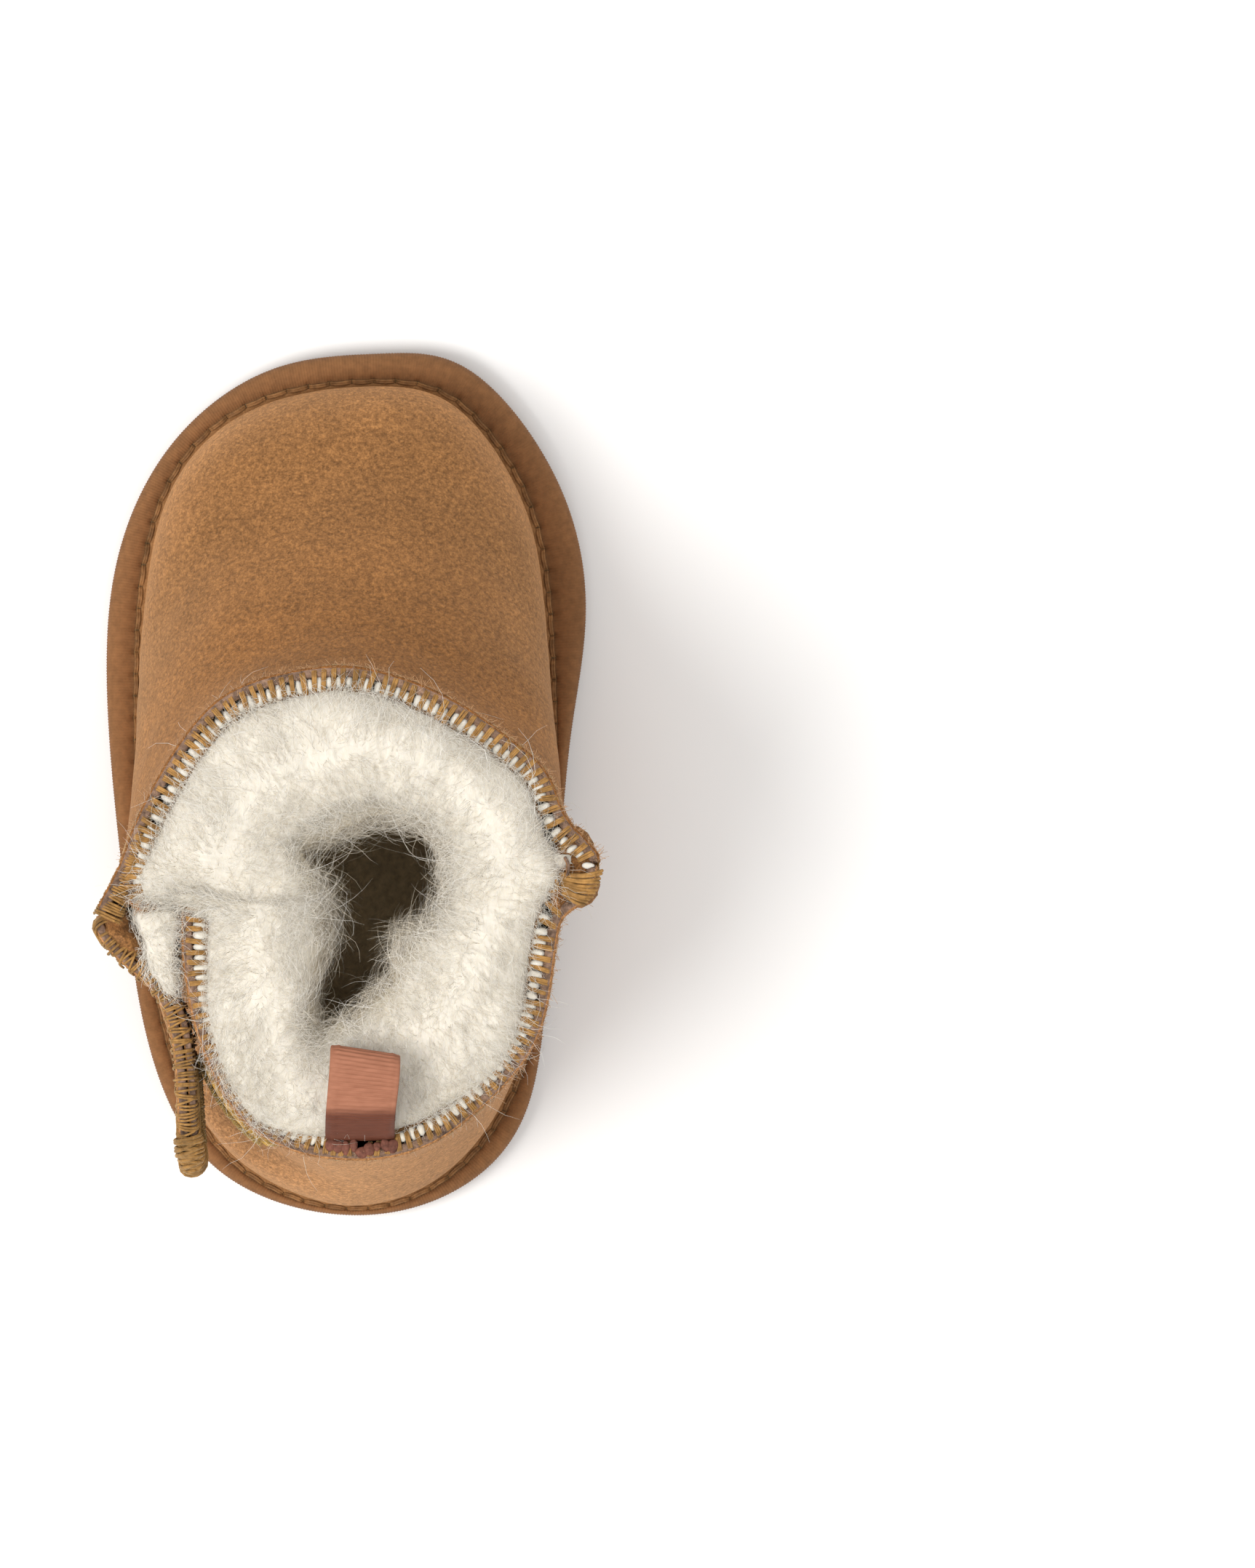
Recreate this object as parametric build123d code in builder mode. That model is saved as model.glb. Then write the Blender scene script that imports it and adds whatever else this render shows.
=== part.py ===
from build123d import *
import os
from math import hypot

# Left baby bootie in millimetres. The toe points to -Y, the heel to +Y, the closure side to +X,
# and the sole rests on Z = 0.

# Plan outlines, one point per station, anticlockwise from the toe tip: past the closure side,
# round the heel and back along the inner side.
SOLE_RING = [
    (-5, -63.6), (9.5, -61.8), (22, -54.4), (30.6, -42.6), (35.1, -26), (34.9, -4), (32.6, 18),
    (29.4, 38), (19.5, 56.6), (-0.6, 63.7), (-17.5, 59.2), (-26.6, 48), (-29.5, 31), (-31.4, 11),
    (-33.2, -8), (-35.3, -26), (-31, -45), (-18.5, -60.9),
]
FOOT_RING = [
    (-4, -58.7), (9, -57.1), (19.5, -51.8), (26.5, -42), (29.8, -27), (30.3, -7), (29.5, 14),
    (27, 32), (18.5, 53), (-1, 62), (-17, 55.2), (-25.5, 41), (-28.6, 24), (-29.9, 6),
    (-29.9, -12), (-28.8, -30), (-25, -44), (-15.7, -56),
]
COLLAR_RING = [
    (-2.5, -17.2), (7, -16.6), (16.3, -13.4), (23.5, -6.5), (29.2, 3.2), (32.6, 13), (32, 24),
    (28, 36), (16.5, 49.2), (-1, 55), (-13.5, 52.3), (-23, 44.8), (-28.9, 35.5), (-31.1, 24),
    (-32.6, 12), (-30.8, 0), (-24.5, -6.8), (-14.5, -13.2),
]
# Stations where the back panel tucks in behind the closure flap.
TUCKED_STATIONS = {5: (24.2, 10), 6: (23.6, 24), 7: (21, 38), 8: (13.2, 50.6)}

# Upper: outside levels as (height, share of the way from the foot outline to the collar outline).
LEVELS = [
    (7, 0), (14, 0), (21, 0.03), (28, 0.12), (34, 0.26), (41, 0.42), (50, 0.58), (60, 0.74),
    (71, 0.9), (81, 1), (92, 1), (104, 1),
]
BOTTOM_TURN_IN = 1.0
SLIT_BOTTOM = 28
SLIT_FULL = 44
COLLAR_FRONT_Z = 87
COLLAR_BACK_Z = 82
COLLAR_FRONT_Y = -17.2
COLLAR_BACK_Y = 55

SUEDE = 1.6
SUEDE_DROP = 1.2
PILE_FOOT = 7.5
PILE_COLLAR = 12.5
PILE_DROP = 5.5

# Side seams: both panels turn outward and are sewn edge to edge.
SEAM_INNER = (-33, 12)
SEAM_LATERAL = (33, 18.5)
FLANGE = 1.5
FLANGE_REACH_FOOT = 2.4
FLANGE_REACH_COLLAR = 4.4
SEAM_FOOT_X = 29.4
SEAM_COLLAR_X = 32.6

# Sole.
OUTSOLE = 1.6
OUTSOLE_INSET = 3.0
GROOVE_WIDTH = 1.4
GROOVE_DEPTH = 0.6
GROOVES_Y = (-42, -34, -26, -18, 34, 42, 50)
BINDING = 1.2
BINDING_TOP = 7.0
BINDING_TURN_UNDER = 8.0
BINDING_ROUND = 1.1
RAISED_CORE_INSET = 8.3
LIP = 0.9
LIP_REACH = 2.2
INSOLE_BOARD = 1.0
INSOLE_BOARD_INSET = 3.1
FOOTBED = 3.0
FOOTBED_INSET = 10.2

# Thread.
THREAD = 0.8
WHIP_PITCH = 2.3
WHIP_REACH = 3.9
WHIP_OVERHANG = 0.7
SOLE_STITCH_PITCH = 3.7
SOLE_STITCH_LENGTH = 2.6
SEAM_WHIP_PITCH = 2.6
SEAM_WHIP_CLEARANCE = 0.3

# Closure flap, outside face in plan from its root at the lateral seam to its tip.
FLAP_LINE = [
    (36.6, 21.0), (34.4, 24.4), (31.0, 27.6), (28.0, 30.6), (26.0, 34.4), (25.0, 39), (24.5, 45),
    (24.2, 51), (23.5, 56.6),
]
FLAP_BOTTOM = 45
FLAP_TOP = 82
FLAP_CORNER = 13
FLAP_FACING = 1.0
FLAP_WHIP_REACH = 3.2
HOOK = 0.8
HOOK_Y = (41, 53)
HOOK_Z = (54, 77)
LOOP_Y = (39.5, 53)
LOOP_Z = (52, 78)
LOOP_CORNER = 3
FLEECE_PAD = [(32.4, 21.8), (29.4, 19.8), (25.8, 21.0), (25.0, 24.6), (25.0, 27.4)]
FLEECE_CLEARANCE = 0.3

# Pull tab: side profile of its outside face, (Y, Z), from the back of the collar round the loop.
TAB_X = -2.6
TAB_WIDTH = 9.8
TAB_THICKNESS = 0.8
TAB_PROFILE = [
    (51.4, 83.1), (51.4, 87.4), (49.0, 92.0), (44.6, 94.4), (40.2, 94.2), (38.6, 91.4), (40.0, 88.4),
    (43.4, 87.2), (46.8, 86.2), (49.2, 83.3),
]
TACK_COUNT = 6

# Blank care label, sewn in at the foot of the inner-side lining.
LABEL_SIZE = (14, 0.4, 10)
LABEL_PLACE = (-17.4, 4, 17.5)


def between(start, end, share):
    return start + (end - start) * share


def inset_ring(ring, distance):
    """Move each point of a closed anticlockwise ring inward, square to its neighbours."""
    moved = []
    for index, (x, y) in enumerate(ring):
        before = ring[index - 1]
        after = ring[(index + 1) % len(ring)]
        run_x = after[0] - before[0]
        run_y = after[1] - before[1]
        length = hypot(run_x, run_y)
        moved.append((x - distance * run_y / length, y + distance * run_x / length))
    return moved


def level_ring(height, rise, tucked):
    """Outside outline of the upper at one level, tucked in beside the slit on the back panel."""
    ring = []
    for foot, collar in zip(FOOT_RING, COLLAR_RING):
        ring.append((between(foot[0], collar[0], rise), between(foot[1], collar[1], rise)))
    if tucked:
        share = min(max((height - SLIT_BOTTOM) / (SLIT_FULL - SLIT_BOTTOM), 0), 1)
        for station, (x, y) in TUCKED_STATIONS.items():
            old_x, old_y = ring[station]
            ring[station] = (between(old_x, x, share), between(old_y, y, share))
    return ring


def upper_loft(tucked, foot_inset, collar_inset, drop):
    """Closed solid inside the upper's levels, inset by an amount that grows towards the collar."""
    with BuildPart() as body:
        for height, rise in LEVELS:
            turn_in = BOTTOM_TURN_IN if height == LEVELS[0][0] else 0
            inset = between(foot_inset, collar_inset, rise) + turn_in
            ring = inset_ring(level_ring(height, rise, tucked), inset)
            with BuildSketch(Plane.XY.offset(height - drop)):
                with BuildLine():
                    Spline(*ring, periodic=True)
                make_face()
        loft()
    return body.part


def slab(ring, inset, bottom, top):
    """Straight-sided solid of a ring between two heights."""
    with BuildPart() as body:
        with BuildSketch(Plane.XY.offset(bottom)):
            with BuildLine():
                Spline(*inset_ring(ring, inset), periodic=True)
            make_face()
        extrude(amount=top - bottom)
    return body.part


def block(x_range, y_range, z_range):
    """Plain box given by its ranges, for cutting."""
    with BuildPart() as body:
        size = [high - low for low, high in (x_range, y_range, z_range)]
        centre = [(low + high) / 2 for low, high in (x_range, y_range, z_range)]
        with Locations(tuple(centre)):
            Box(*size)
    return body.part


def side_window(y_range, z_range, corner):
    """Rounded block through the closure side, as seen along X."""
    with BuildPart() as body:
        with BuildSketch(Plane.YZ):
            with Locations((sum(y_range) / 2, sum(z_range) / 2)):
                RectangleRounded(y_range[1] - y_range[0], z_range[1] - z_range[0], corner)
        extrude(amount=60)
    return body.part


def shifted_line(line, distance):
    """Move an open line of points to its left, square to its neighbours."""
    moved = []
    for index, (x, y) in enumerate(line):
        before = line[max(index - 1, 0)]
        after = line[min(index + 1, len(line) - 1)]
        run_x = after[0] - before[0]
        run_y = after[1] - before[1]
        length = hypot(run_x, run_y)
        moved.append((x - distance * run_y / length, y + distance * run_x / length))
    return moved


def flap_layer(outside, inside):
    """Upright layer of the flap between two distances inside its outside face."""
    near = shifted_line(FLAP_LINE, outside)
    far = shifted_line(FLAP_LINE, inside)
    with BuildPart() as body:
        with BuildSketch(Plane.XY.offset(FLAP_BOTTOM)):
            with BuildLine():
                Spline(*near)
                Line(near[-1], far[-1])
                Spline(*far)
                Line(far[0], near[0])
            make_face()
        extrude(amount=FLAP_TOP - FLAP_BOTTOM)
    return body.part


def collar_height(y):
    share = (y - COLLAR_FRONT_Y) / (COLLAR_BACK_Y - COLLAR_FRONT_Y)
    return between(COLLAR_FRONT_Z, COLLAR_BACK_Z, share)


def whip_places(ring, pitch, inward, wanted):
    """Stitch frames on the collar's edge: X across the edge, inward, and Z square to it."""
    line = Spline(*ring, periodic=True)
    count = round(line.length / pitch)
    places = []
    for index in range(count):
        point = line @ (index / count)
        along = line % (index / count)
        if not wanted(point.X, point.Y):
            continue
        across = Vector(-along.Y, along.X, 0)
        x = point.X + across.X * inward
        y = point.Y + across.Y * inward
        across = Vector(across.X, across.Y, across.Y * COLLAR_SLOPE)
        places.append(Plane((x, y, collar_height(y)), x_dir=across, z_dir=COLLAR_NORMAL).location)
    return places


def level_rise(height):
    """Share of the way to the collar outline at a height."""
    for (low, low_rise), (high, high_rise) in zip(LEVELS, LEVELS[1:]):
        if height <= high:
            return between(low_rise, high_rise, (height - low) / (high - low))
    return 1


COLLAR_SLOPE = (COLLAR_BACK_Z - COLLAR_FRONT_Z) / (COLLAR_BACK_Y - COLLAR_FRONT_Y)
COLLAR_NORMAL = Vector(0, -COLLAR_SLOPE, 1).normalized()
collar_plane = Plane((0, 0, collar_height(0)), x_dir=(1, 0, 0), z_dir=COLLAR_NORMAL)

SEAM_RUN = Vector(SEAM_LATERAL[0] - SEAM_INNER[0], SEAM_LATERAL[1] - SEAM_INNER[1], 0).normalized()
SEAM_NORMAL = Vector(-SEAM_RUN.Y, SEAM_RUN.X, 0)
seam_plane = Plane((SEAM_INNER[0], SEAM_INNER[1], 0), x_dir=SEAM_RUN, z_dir=SEAM_NORMAL)
BACK_COLLAR_RING = level_ring(COLLAR_BACK_Z, 1, True)

# Working solids that the panels and linings are cut from.
front_outside = upper_loft(False, 0, 0, 0)
front_inside = upper_loft(False, SUEDE, SUEDE, SUEDE_DROP)
front_cavity = upper_loft(False, PILE_FOOT, PILE_COLLAR, PILE_DROP)
front_ridge = upper_loft(False, -FLANGE_REACH_FOOT, -FLANGE_REACH_COLLAR, 0)
back_outside = upper_loft(True, 0, 0, 0)
back_inside = upper_loft(True, SUEDE, SUEDE, SUEDE_DROP)
back_cavity = upper_loft(True, PILE_FOOT, PILE_COLLAR, PILE_DROP)
back_ridge = upper_loft(True, -FLANGE_REACH_FOOT, -FLANGE_REACH_COLLAR, 0)
back_patched = upper_loft(True, -HOOK, -HOOK, 0)
lip = slab(FOOT_RING, BOTTOM_TURN_IN - LIP_REACH, BINDING_TOP, BINDING_TOP + LIP)
above_board = BINDING_TOP + INSOLE_BOARD

# Sole stack.
with BuildPart() as outsole:
    add(slab(SOLE_RING, OUTSOLE_INSET, 0, OUTSOLE))
    for groove_y in GROOVES_Y:
        with Locations((0, groove_y, GROOVE_DEPTH / 2)):
            Box(90, GROOVE_WIDTH, GROOVE_DEPTH, mode=Mode.SUBTRACT)

with BuildPart() as midsole:
    add(slab(SOLE_RING, BINDING, OUTSOLE + BINDING, BINDING_TOP - BINDING))
    add(slab(SOLE_RING, RAISED_CORE_INSET, OUTSOLE, BINDING_TOP))

with BuildPart() as sole_binding:
    add(slab(SOLE_RING, 0, OUTSOLE, BINDING_TOP))
    fillet(sole_binding.edges().group_by(Axis.Z)[-1], BINDING_ROUND)
    fillet(sole_binding.edges().group_by(Axis.Z)[0], BINDING_ROUND)
    add(slab(SOLE_RING, BINDING, OUTSOLE + BINDING, BINDING_TOP - BINDING), mode=Mode.SUBTRACT)
    add(slab(SOLE_RING, BINDING_TURN_UNDER, 0, 2 * BINDING_TOP), mode=Mode.SUBTRACT)

with BuildPart() as insole_board:
    add(slab(FOOT_RING, INSOLE_BOARD_INSET + BOTTOM_TURN_IN, BINDING_TOP, above_board))

with BuildPart() as footbed:
    add(slab(FOOT_RING, FOOTBED_INSET, above_board, above_board + FOOTBED))
    fillet(footbed.edges().group_by(Axis.Z)[-1], 0.8)

# Upper panels, each with its turned-out seam flanges and its stitched-down lip.
with BuildPart() as front_flange:
    add(front_ridge)
    split(bisect_by=seam_plane, keep=Keep.BOTTOM)
    split(bisect_by=seam_plane.offset(-FLANGE), keep=Keep.TOP)

with BuildPart() as back_flange:
    add(back_ridge)
    split(bisect_by=seam_plane, keep=Keep.TOP)
    split(bisect_by=seam_plane.offset(FLANGE), keep=Keep.BOTTOM)
    add(block((0, 60), (-60, 80), (SLIT_BOTTOM, 120)), mode=Mode.SUBTRACT)

with BuildPart() as front_upper:
    add(front_outside)
    add(lip)
    split(bisect_by=seam_plane, keep=Keep.BOTTOM)
    add(front_flange.part)
    add(front_inside, mode=Mode.SUBTRACT)
    split(bisect_by=collar_plane, keep=Keep.BOTTOM)

with BuildPart() as back_upper:
    add(back_outside)
    add(lip)
    split(bisect_by=seam_plane, keep=Keep.TOP)
    add(back_flange.part)
    add(back_inside, mode=Mode.SUBTRACT)
    split(bisect_by=collar_plane, keep=Keep.BOTTOM)

# Wool pile linings.
with BuildPart() as front_lining:
    add(front_inside)
    split(bisect_by=seam_plane, keep=Keep.BOTTOM)
    split(bisect_by=Plane.XY.offset(above_board), keep=Keep.TOP)
    split(bisect_by=collar_plane, keep=Keep.BOTTOM)
    add(front_cavity, mode=Mode.SUBTRACT)

with BuildPart() as back_lining:
    add(back_inside)
    split(bisect_by=seam_plane, keep=Keep.TOP)
    split(bisect_by=Plane.XY.offset(above_board), keep=Keep.TOP)
    split(bisect_by=collar_plane, keep=Keep.BOTTOM)
    add(back_cavity, mode=Mode.SUBTRACT)

def clear_of_seams(x, y):
    """True where a collar stitch stands clear of both side seams."""
    offset_y = (Vector(x, y, 0) - Vector(SEAM_INNER[0], SEAM_INNER[1], 0)).dot(SEAM_NORMAL)
    return abs(offset_y) > FLANGE + WHIP_PITCH


# Stitches that hold the lip to the binding.
lip_stitch_ring = inset_ring(FOOT_RING, BOTTOM_TURN_IN - LIP_REACH + THREAD * 0.3)
lip_stitch_line = Spline(*lip_stitch_ring, periodic=True)
stitch_count = round(lip_stitch_line.length / SOLE_STITCH_PITCH)
with BuildPart() as binding_stitching:
    for stitch in range(stitch_count):
        spot = lip_stitch_line @ (stitch / stitch_count)
        heading = lip_stitch_line % (stitch / stitch_count)
        if not clear_of_seams(spot.X, spot.Y):
            continue
        with Locations(Plane((spot.X, spot.Y, BINDING_TOP + LIP), x_dir=heading).location):
            Box(SOLE_STITCH_LENGTH, THREAD, THREAD, align=(Align.CENTER, Align.CENTER, Align.MIN))


def on_front(x, y):
    offset_y = (Vector(x, y, 0) - Vector(SEAM_INNER[0], SEAM_INNER[1], 0)).dot(SEAM_NORMAL)
    return offset_y < 0 and clear_of_seams(x, y)


def on_back(x, y):
    offset_y = (Vector(x, y, 0) - Vector(SEAM_INNER[0], SEAM_INNER[1], 0)).dot(SEAM_NORMAL)
    beside_tab = y > 0 and abs(x - TAB_X) < TAB_WIDTH / 2 + THREAD
    return offset_y > 0 and clear_of_seams(x, y) and not beside_tab


WHIP_CENTRE = WHIP_REACH / 2 - WHIP_OVERHANG
with BuildPart() as front_collar_stitching:
    with Locations(*whip_places(COLLAR_RING, WHIP_PITCH, WHIP_CENTRE, on_front)):
        Box(WHIP_REACH, THREAD, THREAD, align=(Align.CENTER, Align.CENTER, Align.MIN))

with BuildPart() as back_collar_stitching:
    with Locations(*whip_places(BACK_COLLAR_RING, WHIP_PITCH, WHIP_CENTRE, on_back)):
        Box(WHIP_REACH, THREAD, THREAD, align=(Align.CENTER, Align.CENTER, Align.MIN))


def seam_whips(side, across, middle_y, top):
    """Bars of thread over the outer edge of a side seam's ridge."""
    with BuildPart() as bars:
        height = BINDING_TOP + LIP + SEAM_WHIP_PITCH
        while height < top:
            rise = level_rise(height)
            reach = between(FLANGE_REACH_FOOT, FLANGE_REACH_COLLAR, rise)
            edge = between(SEAM_FOOT_X, SEAM_COLLAR_X, rise) + reach + SEAM_WHIP_CLEARANCE
            with Locations((side * (edge + THREAD / 2), middle_y, height)):
                Box(THREAD, across, THREAD)
            height += SEAM_WHIP_PITCH
    return bars.part


with BuildPart() as medial_seam_stitching:
    inner_top = collar_height(SEAM_INNER[1]) - THREAD
    add(seam_whips(-1, 2 * FLANGE + THREAD, SEAM_INNER[1], inner_top))

with BuildPart() as lateral_seam_stitching:
    lateral_top = collar_height(SEAM_LATERAL[1]) - THREAD
    add(seam_whips(1, FLANGE + THREAD, SEAM_LATERAL[1] - FLANGE / 2, lateral_top))

# Closure flap with its facing, hook patch, root fleece and edge stitches.
flap_window = side_window((15, FLAP_LINE[-1][1] + 0.5), (FLAP_BOTTOM, FLAP_TOP), FLAP_CORNER)
flap_root = block((20, 45), (14, 32), (FLAP_BOTTOM, FLAP_TOP))
with BuildPart() as flap_shape:
    add(flap_window)
    add(flap_root)

with BuildPart() as closure_flap:
    add(flap_layer(0, SUEDE))
    add(flap_shape.part, mode=Mode.INTERSECT)

with BuildPart() as flap_facing:
    add(flap_layer(SUEDE, SUEDE + FLAP_FACING))
    add(flap_shape.part, mode=Mode.INTERSECT)

with BuildPart() as hook_patch:
    add(flap_layer(SUEDE + FLAP_FACING, SUEDE + FLAP_FACING + HOOK))
    add(side_window(HOOK_Y, HOOK_Z, LOOP_CORNER), mode=Mode.INTERSECT)

with BuildPart() as flap_fleece:
    root_face = shifted_line(FLAP_LINE, SUEDE + FLAP_FACING + FLEECE_CLEARANCE)
    with BuildSketch(Plane.XY.offset(FLAP_BOTTOM + 1)):
        with BuildLine():
            Polyline(*FLEECE_PAD, root_face[3], root_face[2], close=True)
        make_face()
    extrude(amount=FLAP_TOP - FLAP_BOTTOM - 2)

flap_edge = Spline(*shifted_line(FLAP_LINE, (SUEDE + FLAP_FACING) / 2))
flap_count = round(flap_edge.length / WHIP_PITCH)
with BuildPart() as flap_stitching:
    for stitch in range(1, flap_count - 4):
        spot = flap_edge @ (stitch / flap_count)
        heading = flap_edge % (stitch / flap_count)
        with Locations(Plane((spot.X, spot.Y, FLAP_TOP), x_dir=heading).location):
            Box(THREAD, FLAP_WHIP_REACH, THREAD, align=(Align.CENTER, Align.CENTER, Align.MIN))

with BuildPart() as loop_patch:
    add(back_patched)
    add(side_window(LOOP_Y, LOOP_Z, LOOP_CORNER), mode=Mode.INTERSECT)
    add(back_outside, mode=Mode.SUBTRACT)

# Pull tab and its tack.
with BuildPart() as pull_tab:
    with BuildSketch(Plane.YZ.offset(TAB_X - TAB_WIDTH / 2)):
        with BuildLine():
            Spline(*TAB_PROFILE, periodic=True)
        make_face()
        with BuildLine():
            Spline(*inset_ring(TAB_PROFILE, TAB_THICKNESS), periodic=True)
        make_face(mode=Mode.SUBTRACT)
    extrude(amount=TAB_WIDTH)

with BuildPart() as pull_tab_stitching:
    for stitch in range(TACK_COUNT):
        x = TAB_X + (stitch + 0.5 - TACK_COUNT / 2) * TAB_WIDTH / TACK_COUNT
        y = COLLAR_BACK_Y - WHIP_CENTRE + 0.6
        tack_plane = Plane((x, y, collar_height(y)), x_dir=(1, 0, 0), z_dir=COLLAR_NORMAL)
        with Locations(tack_plane.location):
            Box(THREAD, WHIP_REACH - 1.6, THREAD, align=(Align.CENTER, Align.CENTER, Align.MIN))

with BuildPart() as care_label:
    with Locations(Location(LABEL_PLACE, (0, 0, 90))):
        Box(*LABEL_SIZE)

NODES = {
    "outsole": outsole,
    "midsole": midsole,
    "sole_binding": sole_binding,
    "binding_stitching": binding_stitching,
    "insole_board": insole_board,
    "footbed": footbed,
    "front_upper": front_upper,
    "back_upper": back_upper,
    "front_lining": front_lining,
    "back_lining": back_lining,
    "front_collar_stitching": front_collar_stitching,
    "back_collar_stitching": back_collar_stitching,
    "medial_seam_stitching": medial_seam_stitching,
    "lateral_seam_stitching": lateral_seam_stitching,
    "loop_patch": loop_patch,
    "closure_flap": closure_flap,
    "flap_facing": flap_facing,
    "hook_patch": hook_patch,
    "flap_fleece": flap_fleece,
    "flap_stitching": flap_stitching,
    "pull_tab": pull_tab,
    "pull_tab_stitching": pull_tab_stitching,
    "care_label": care_label,
}

os.makedirs("parts", exist_ok=True)
for node, builder in NODES.items():
    builder.part.label = node
    export_step(builder.part, f"parts/{node}.step")
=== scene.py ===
import bpy
import numpy as np
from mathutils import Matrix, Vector


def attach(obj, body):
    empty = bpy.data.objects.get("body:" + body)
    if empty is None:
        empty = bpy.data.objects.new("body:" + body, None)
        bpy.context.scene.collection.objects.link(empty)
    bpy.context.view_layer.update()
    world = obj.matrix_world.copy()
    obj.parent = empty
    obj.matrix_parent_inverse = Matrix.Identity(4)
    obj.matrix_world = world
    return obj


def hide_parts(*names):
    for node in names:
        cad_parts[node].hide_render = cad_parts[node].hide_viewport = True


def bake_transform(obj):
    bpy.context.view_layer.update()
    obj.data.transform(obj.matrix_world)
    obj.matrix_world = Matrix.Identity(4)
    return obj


# Looks of the left baby bootie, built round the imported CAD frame. Shapes are worked out in
# millimetres and turned into metres when a mesh is made. The toe points to -Y, the heel to +Y and
# the closure side to +X.

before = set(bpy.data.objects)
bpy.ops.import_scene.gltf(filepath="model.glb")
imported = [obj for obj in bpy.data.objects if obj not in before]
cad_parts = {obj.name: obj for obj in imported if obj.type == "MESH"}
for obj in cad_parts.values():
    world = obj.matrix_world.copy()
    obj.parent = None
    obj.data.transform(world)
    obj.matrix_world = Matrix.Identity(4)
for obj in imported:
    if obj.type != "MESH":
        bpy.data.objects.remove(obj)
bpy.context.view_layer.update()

MM = 0.001
SEED = 19

# Plan outlines, one point per station, anticlockwise from the toe tip, as in the CAD.
SOLE_RING = [
    (-5, -63.6), (9.5, -61.8), (22, -54.4), (30.6, -42.6), (35.1, -26), (34.9, -4), (32.6, 18),
    (29.4, 38), (19.5, 56.6), (-0.6, 63.7), (-17.5, 59.2), (-26.6, 48), (-29.5, 31), (-31.4, 11),
    (-33.2, -8), (-35.3, -26), (-31, -45), (-18.5, -60.9),
]
FOOT_RING = [
    (-4, -58.7), (9, -57.1), (19.5, -51.8), (26.5, -42), (29.8, -27), (30.3, -7), (29.5, 14),
    (27, 32), (18.5, 53), (-1, 62), (-17, 55.2), (-25.5, 41), (-28.6, 24), (-29.9, 6),
    (-29.9, -12), (-28.8, -30), (-25, -44), (-15.7, -56),
]
COLLAR_RING = [
    (-2.5, -17.2), (7, -16.6), (16.3, -13.4), (23.5, -6.5), (29.2, 3.2), (32.6, 13), (32, 24),
    (28, 36), (16.5, 49.2), (-1, 55), (-13.5, 52.3), (-23, 44.8), (-28.9, 35.5), (-31.1, 24),
    (-32.6, 12), (-30.8, 0), (-24.5, -6.8), (-14.5, -13.2),
]
TUCKED_STATIONS = {5: (24.2, 10), 6: (23.6, 24), 7: (21, 38), 8: (13.2, 50.6)}
LEVELS = [
    (7, 0), (14, 0), (21, 0.03), (28, 0.12), (34, 0.26), (41, 0.42), (50, 0.58), (60, 0.74),
    (71, 0.9), (81, 1), (92, 1), (104, 1),
]
SLIT_BOTTOM, SLIT_FULL = 28, 44
SOLE_TOP = 7.0
COLLAR_FRONT = (-17.2, 87.0)
COLLAR_BACK = (55.0, 82.0)
SEAM_INNER = np.array([-33.0, 12.0])
SEAM_LATERAL = np.array([33.0, 18.5])
SEAM_RUN = (SEAM_LATERAL - SEAM_INNER) / np.linalg.norm(SEAM_LATERAL - SEAM_INNER)
SEAM_NORMAL = np.array([-SEAM_RUN[1], SEAM_RUN[0]])
SUEDE = 1.6  # thickness of the panels
DENSE = 900  # points round a plan line
COLLAR_LEVEL = 90  # height at which the outline is the collar's

# Mouth of the hole that the wool leaves open, anticlockwise from its toe side.
HOLE_RING = [
    (-9.5, 6.2), (-3, 6.6), (2, 8.6), (5.2, 10.6), (3.2, 14.6), (1.6, 19), (2.6, 25), (3.4, 30),
    (2.4, 34.2), (-1.4, 33), (-4.4, 29.8), (-6.4, 25.2), (-7.6, 21), (-11.6, 18.6), (-13.6, 13.6),
    (-12.8, 8.8),
]
HOLE_CENTRE = np.array([-4.0, 15.0])

FLAP_LINE = [
    (36.6, 21.0), (34.4, 24.4), (31.0, 27.6), (28.0, 30.6), (26.0, 34.4), (25.0, 39), (24.5, 45),
    (24.2, 51), (23.5, 56.6),
]
FLAP_BOTTOM, FLAP_TOP, FLAP_CORNER = 45.0, 82.0, 13.0

TAB_X, TAB_WIDTH = -2.6, 9.8


# ---------------------------------------------------------------- curves and noise

def between(start, end, share):
    return start + (end - start) * share


def smooth_step(values):
    values = np.clip(values, 0, 1)
    return values * values * (3 - 2 * values)


def unit(vectors):
    """The vectors at length one; a zero vector stays zero."""
    return vectors / np.maximum(np.linalg.norm(vectors, axis=-1, keepdims=True), 1e-9)


def cubic(part, start, start_slope, end, end_slope):
    """Smooth blend of two points with the given slopes, part of the way along."""
    return ((1 + 2 * part) * (1 - part) ** 2 * start + part * (1 - part) ** 2 * start_slope
            + part ** 2 * (3 - 2 * part) * end + part ** 2 * (part - 1) * end_slope)


def closed_matrix(count, samples):
    """Matrix that turns the points of a closed ring into a smooth closed cubic through them."""
    spline = np.zeros((count, count))
    slopes = np.zeros((count, count))
    for row in range(count):
        before, after = (row - 1) % count, (row + 1) % count
        spline[row, [before, row, after]] = (1, 4, 1)
        slopes[row, after] += 3
        slopes[row, before] -= 3
    slope_of = np.linalg.solve(spline, slopes)
    place = np.arange(samples) * count / samples
    low = place.astype(int)
    part = (place - low)[:, None]
    high = (low + 1) % count
    point_of = np.eye(count)
    return cubic(part, point_of[low], slope_of[low], point_of[high], slope_of[high])


STATIONS = closed_matrix(len(FOOT_RING), DENSE)
SOLE_LINE = STATIONS @ np.array(SOLE_RING, float)


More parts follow.
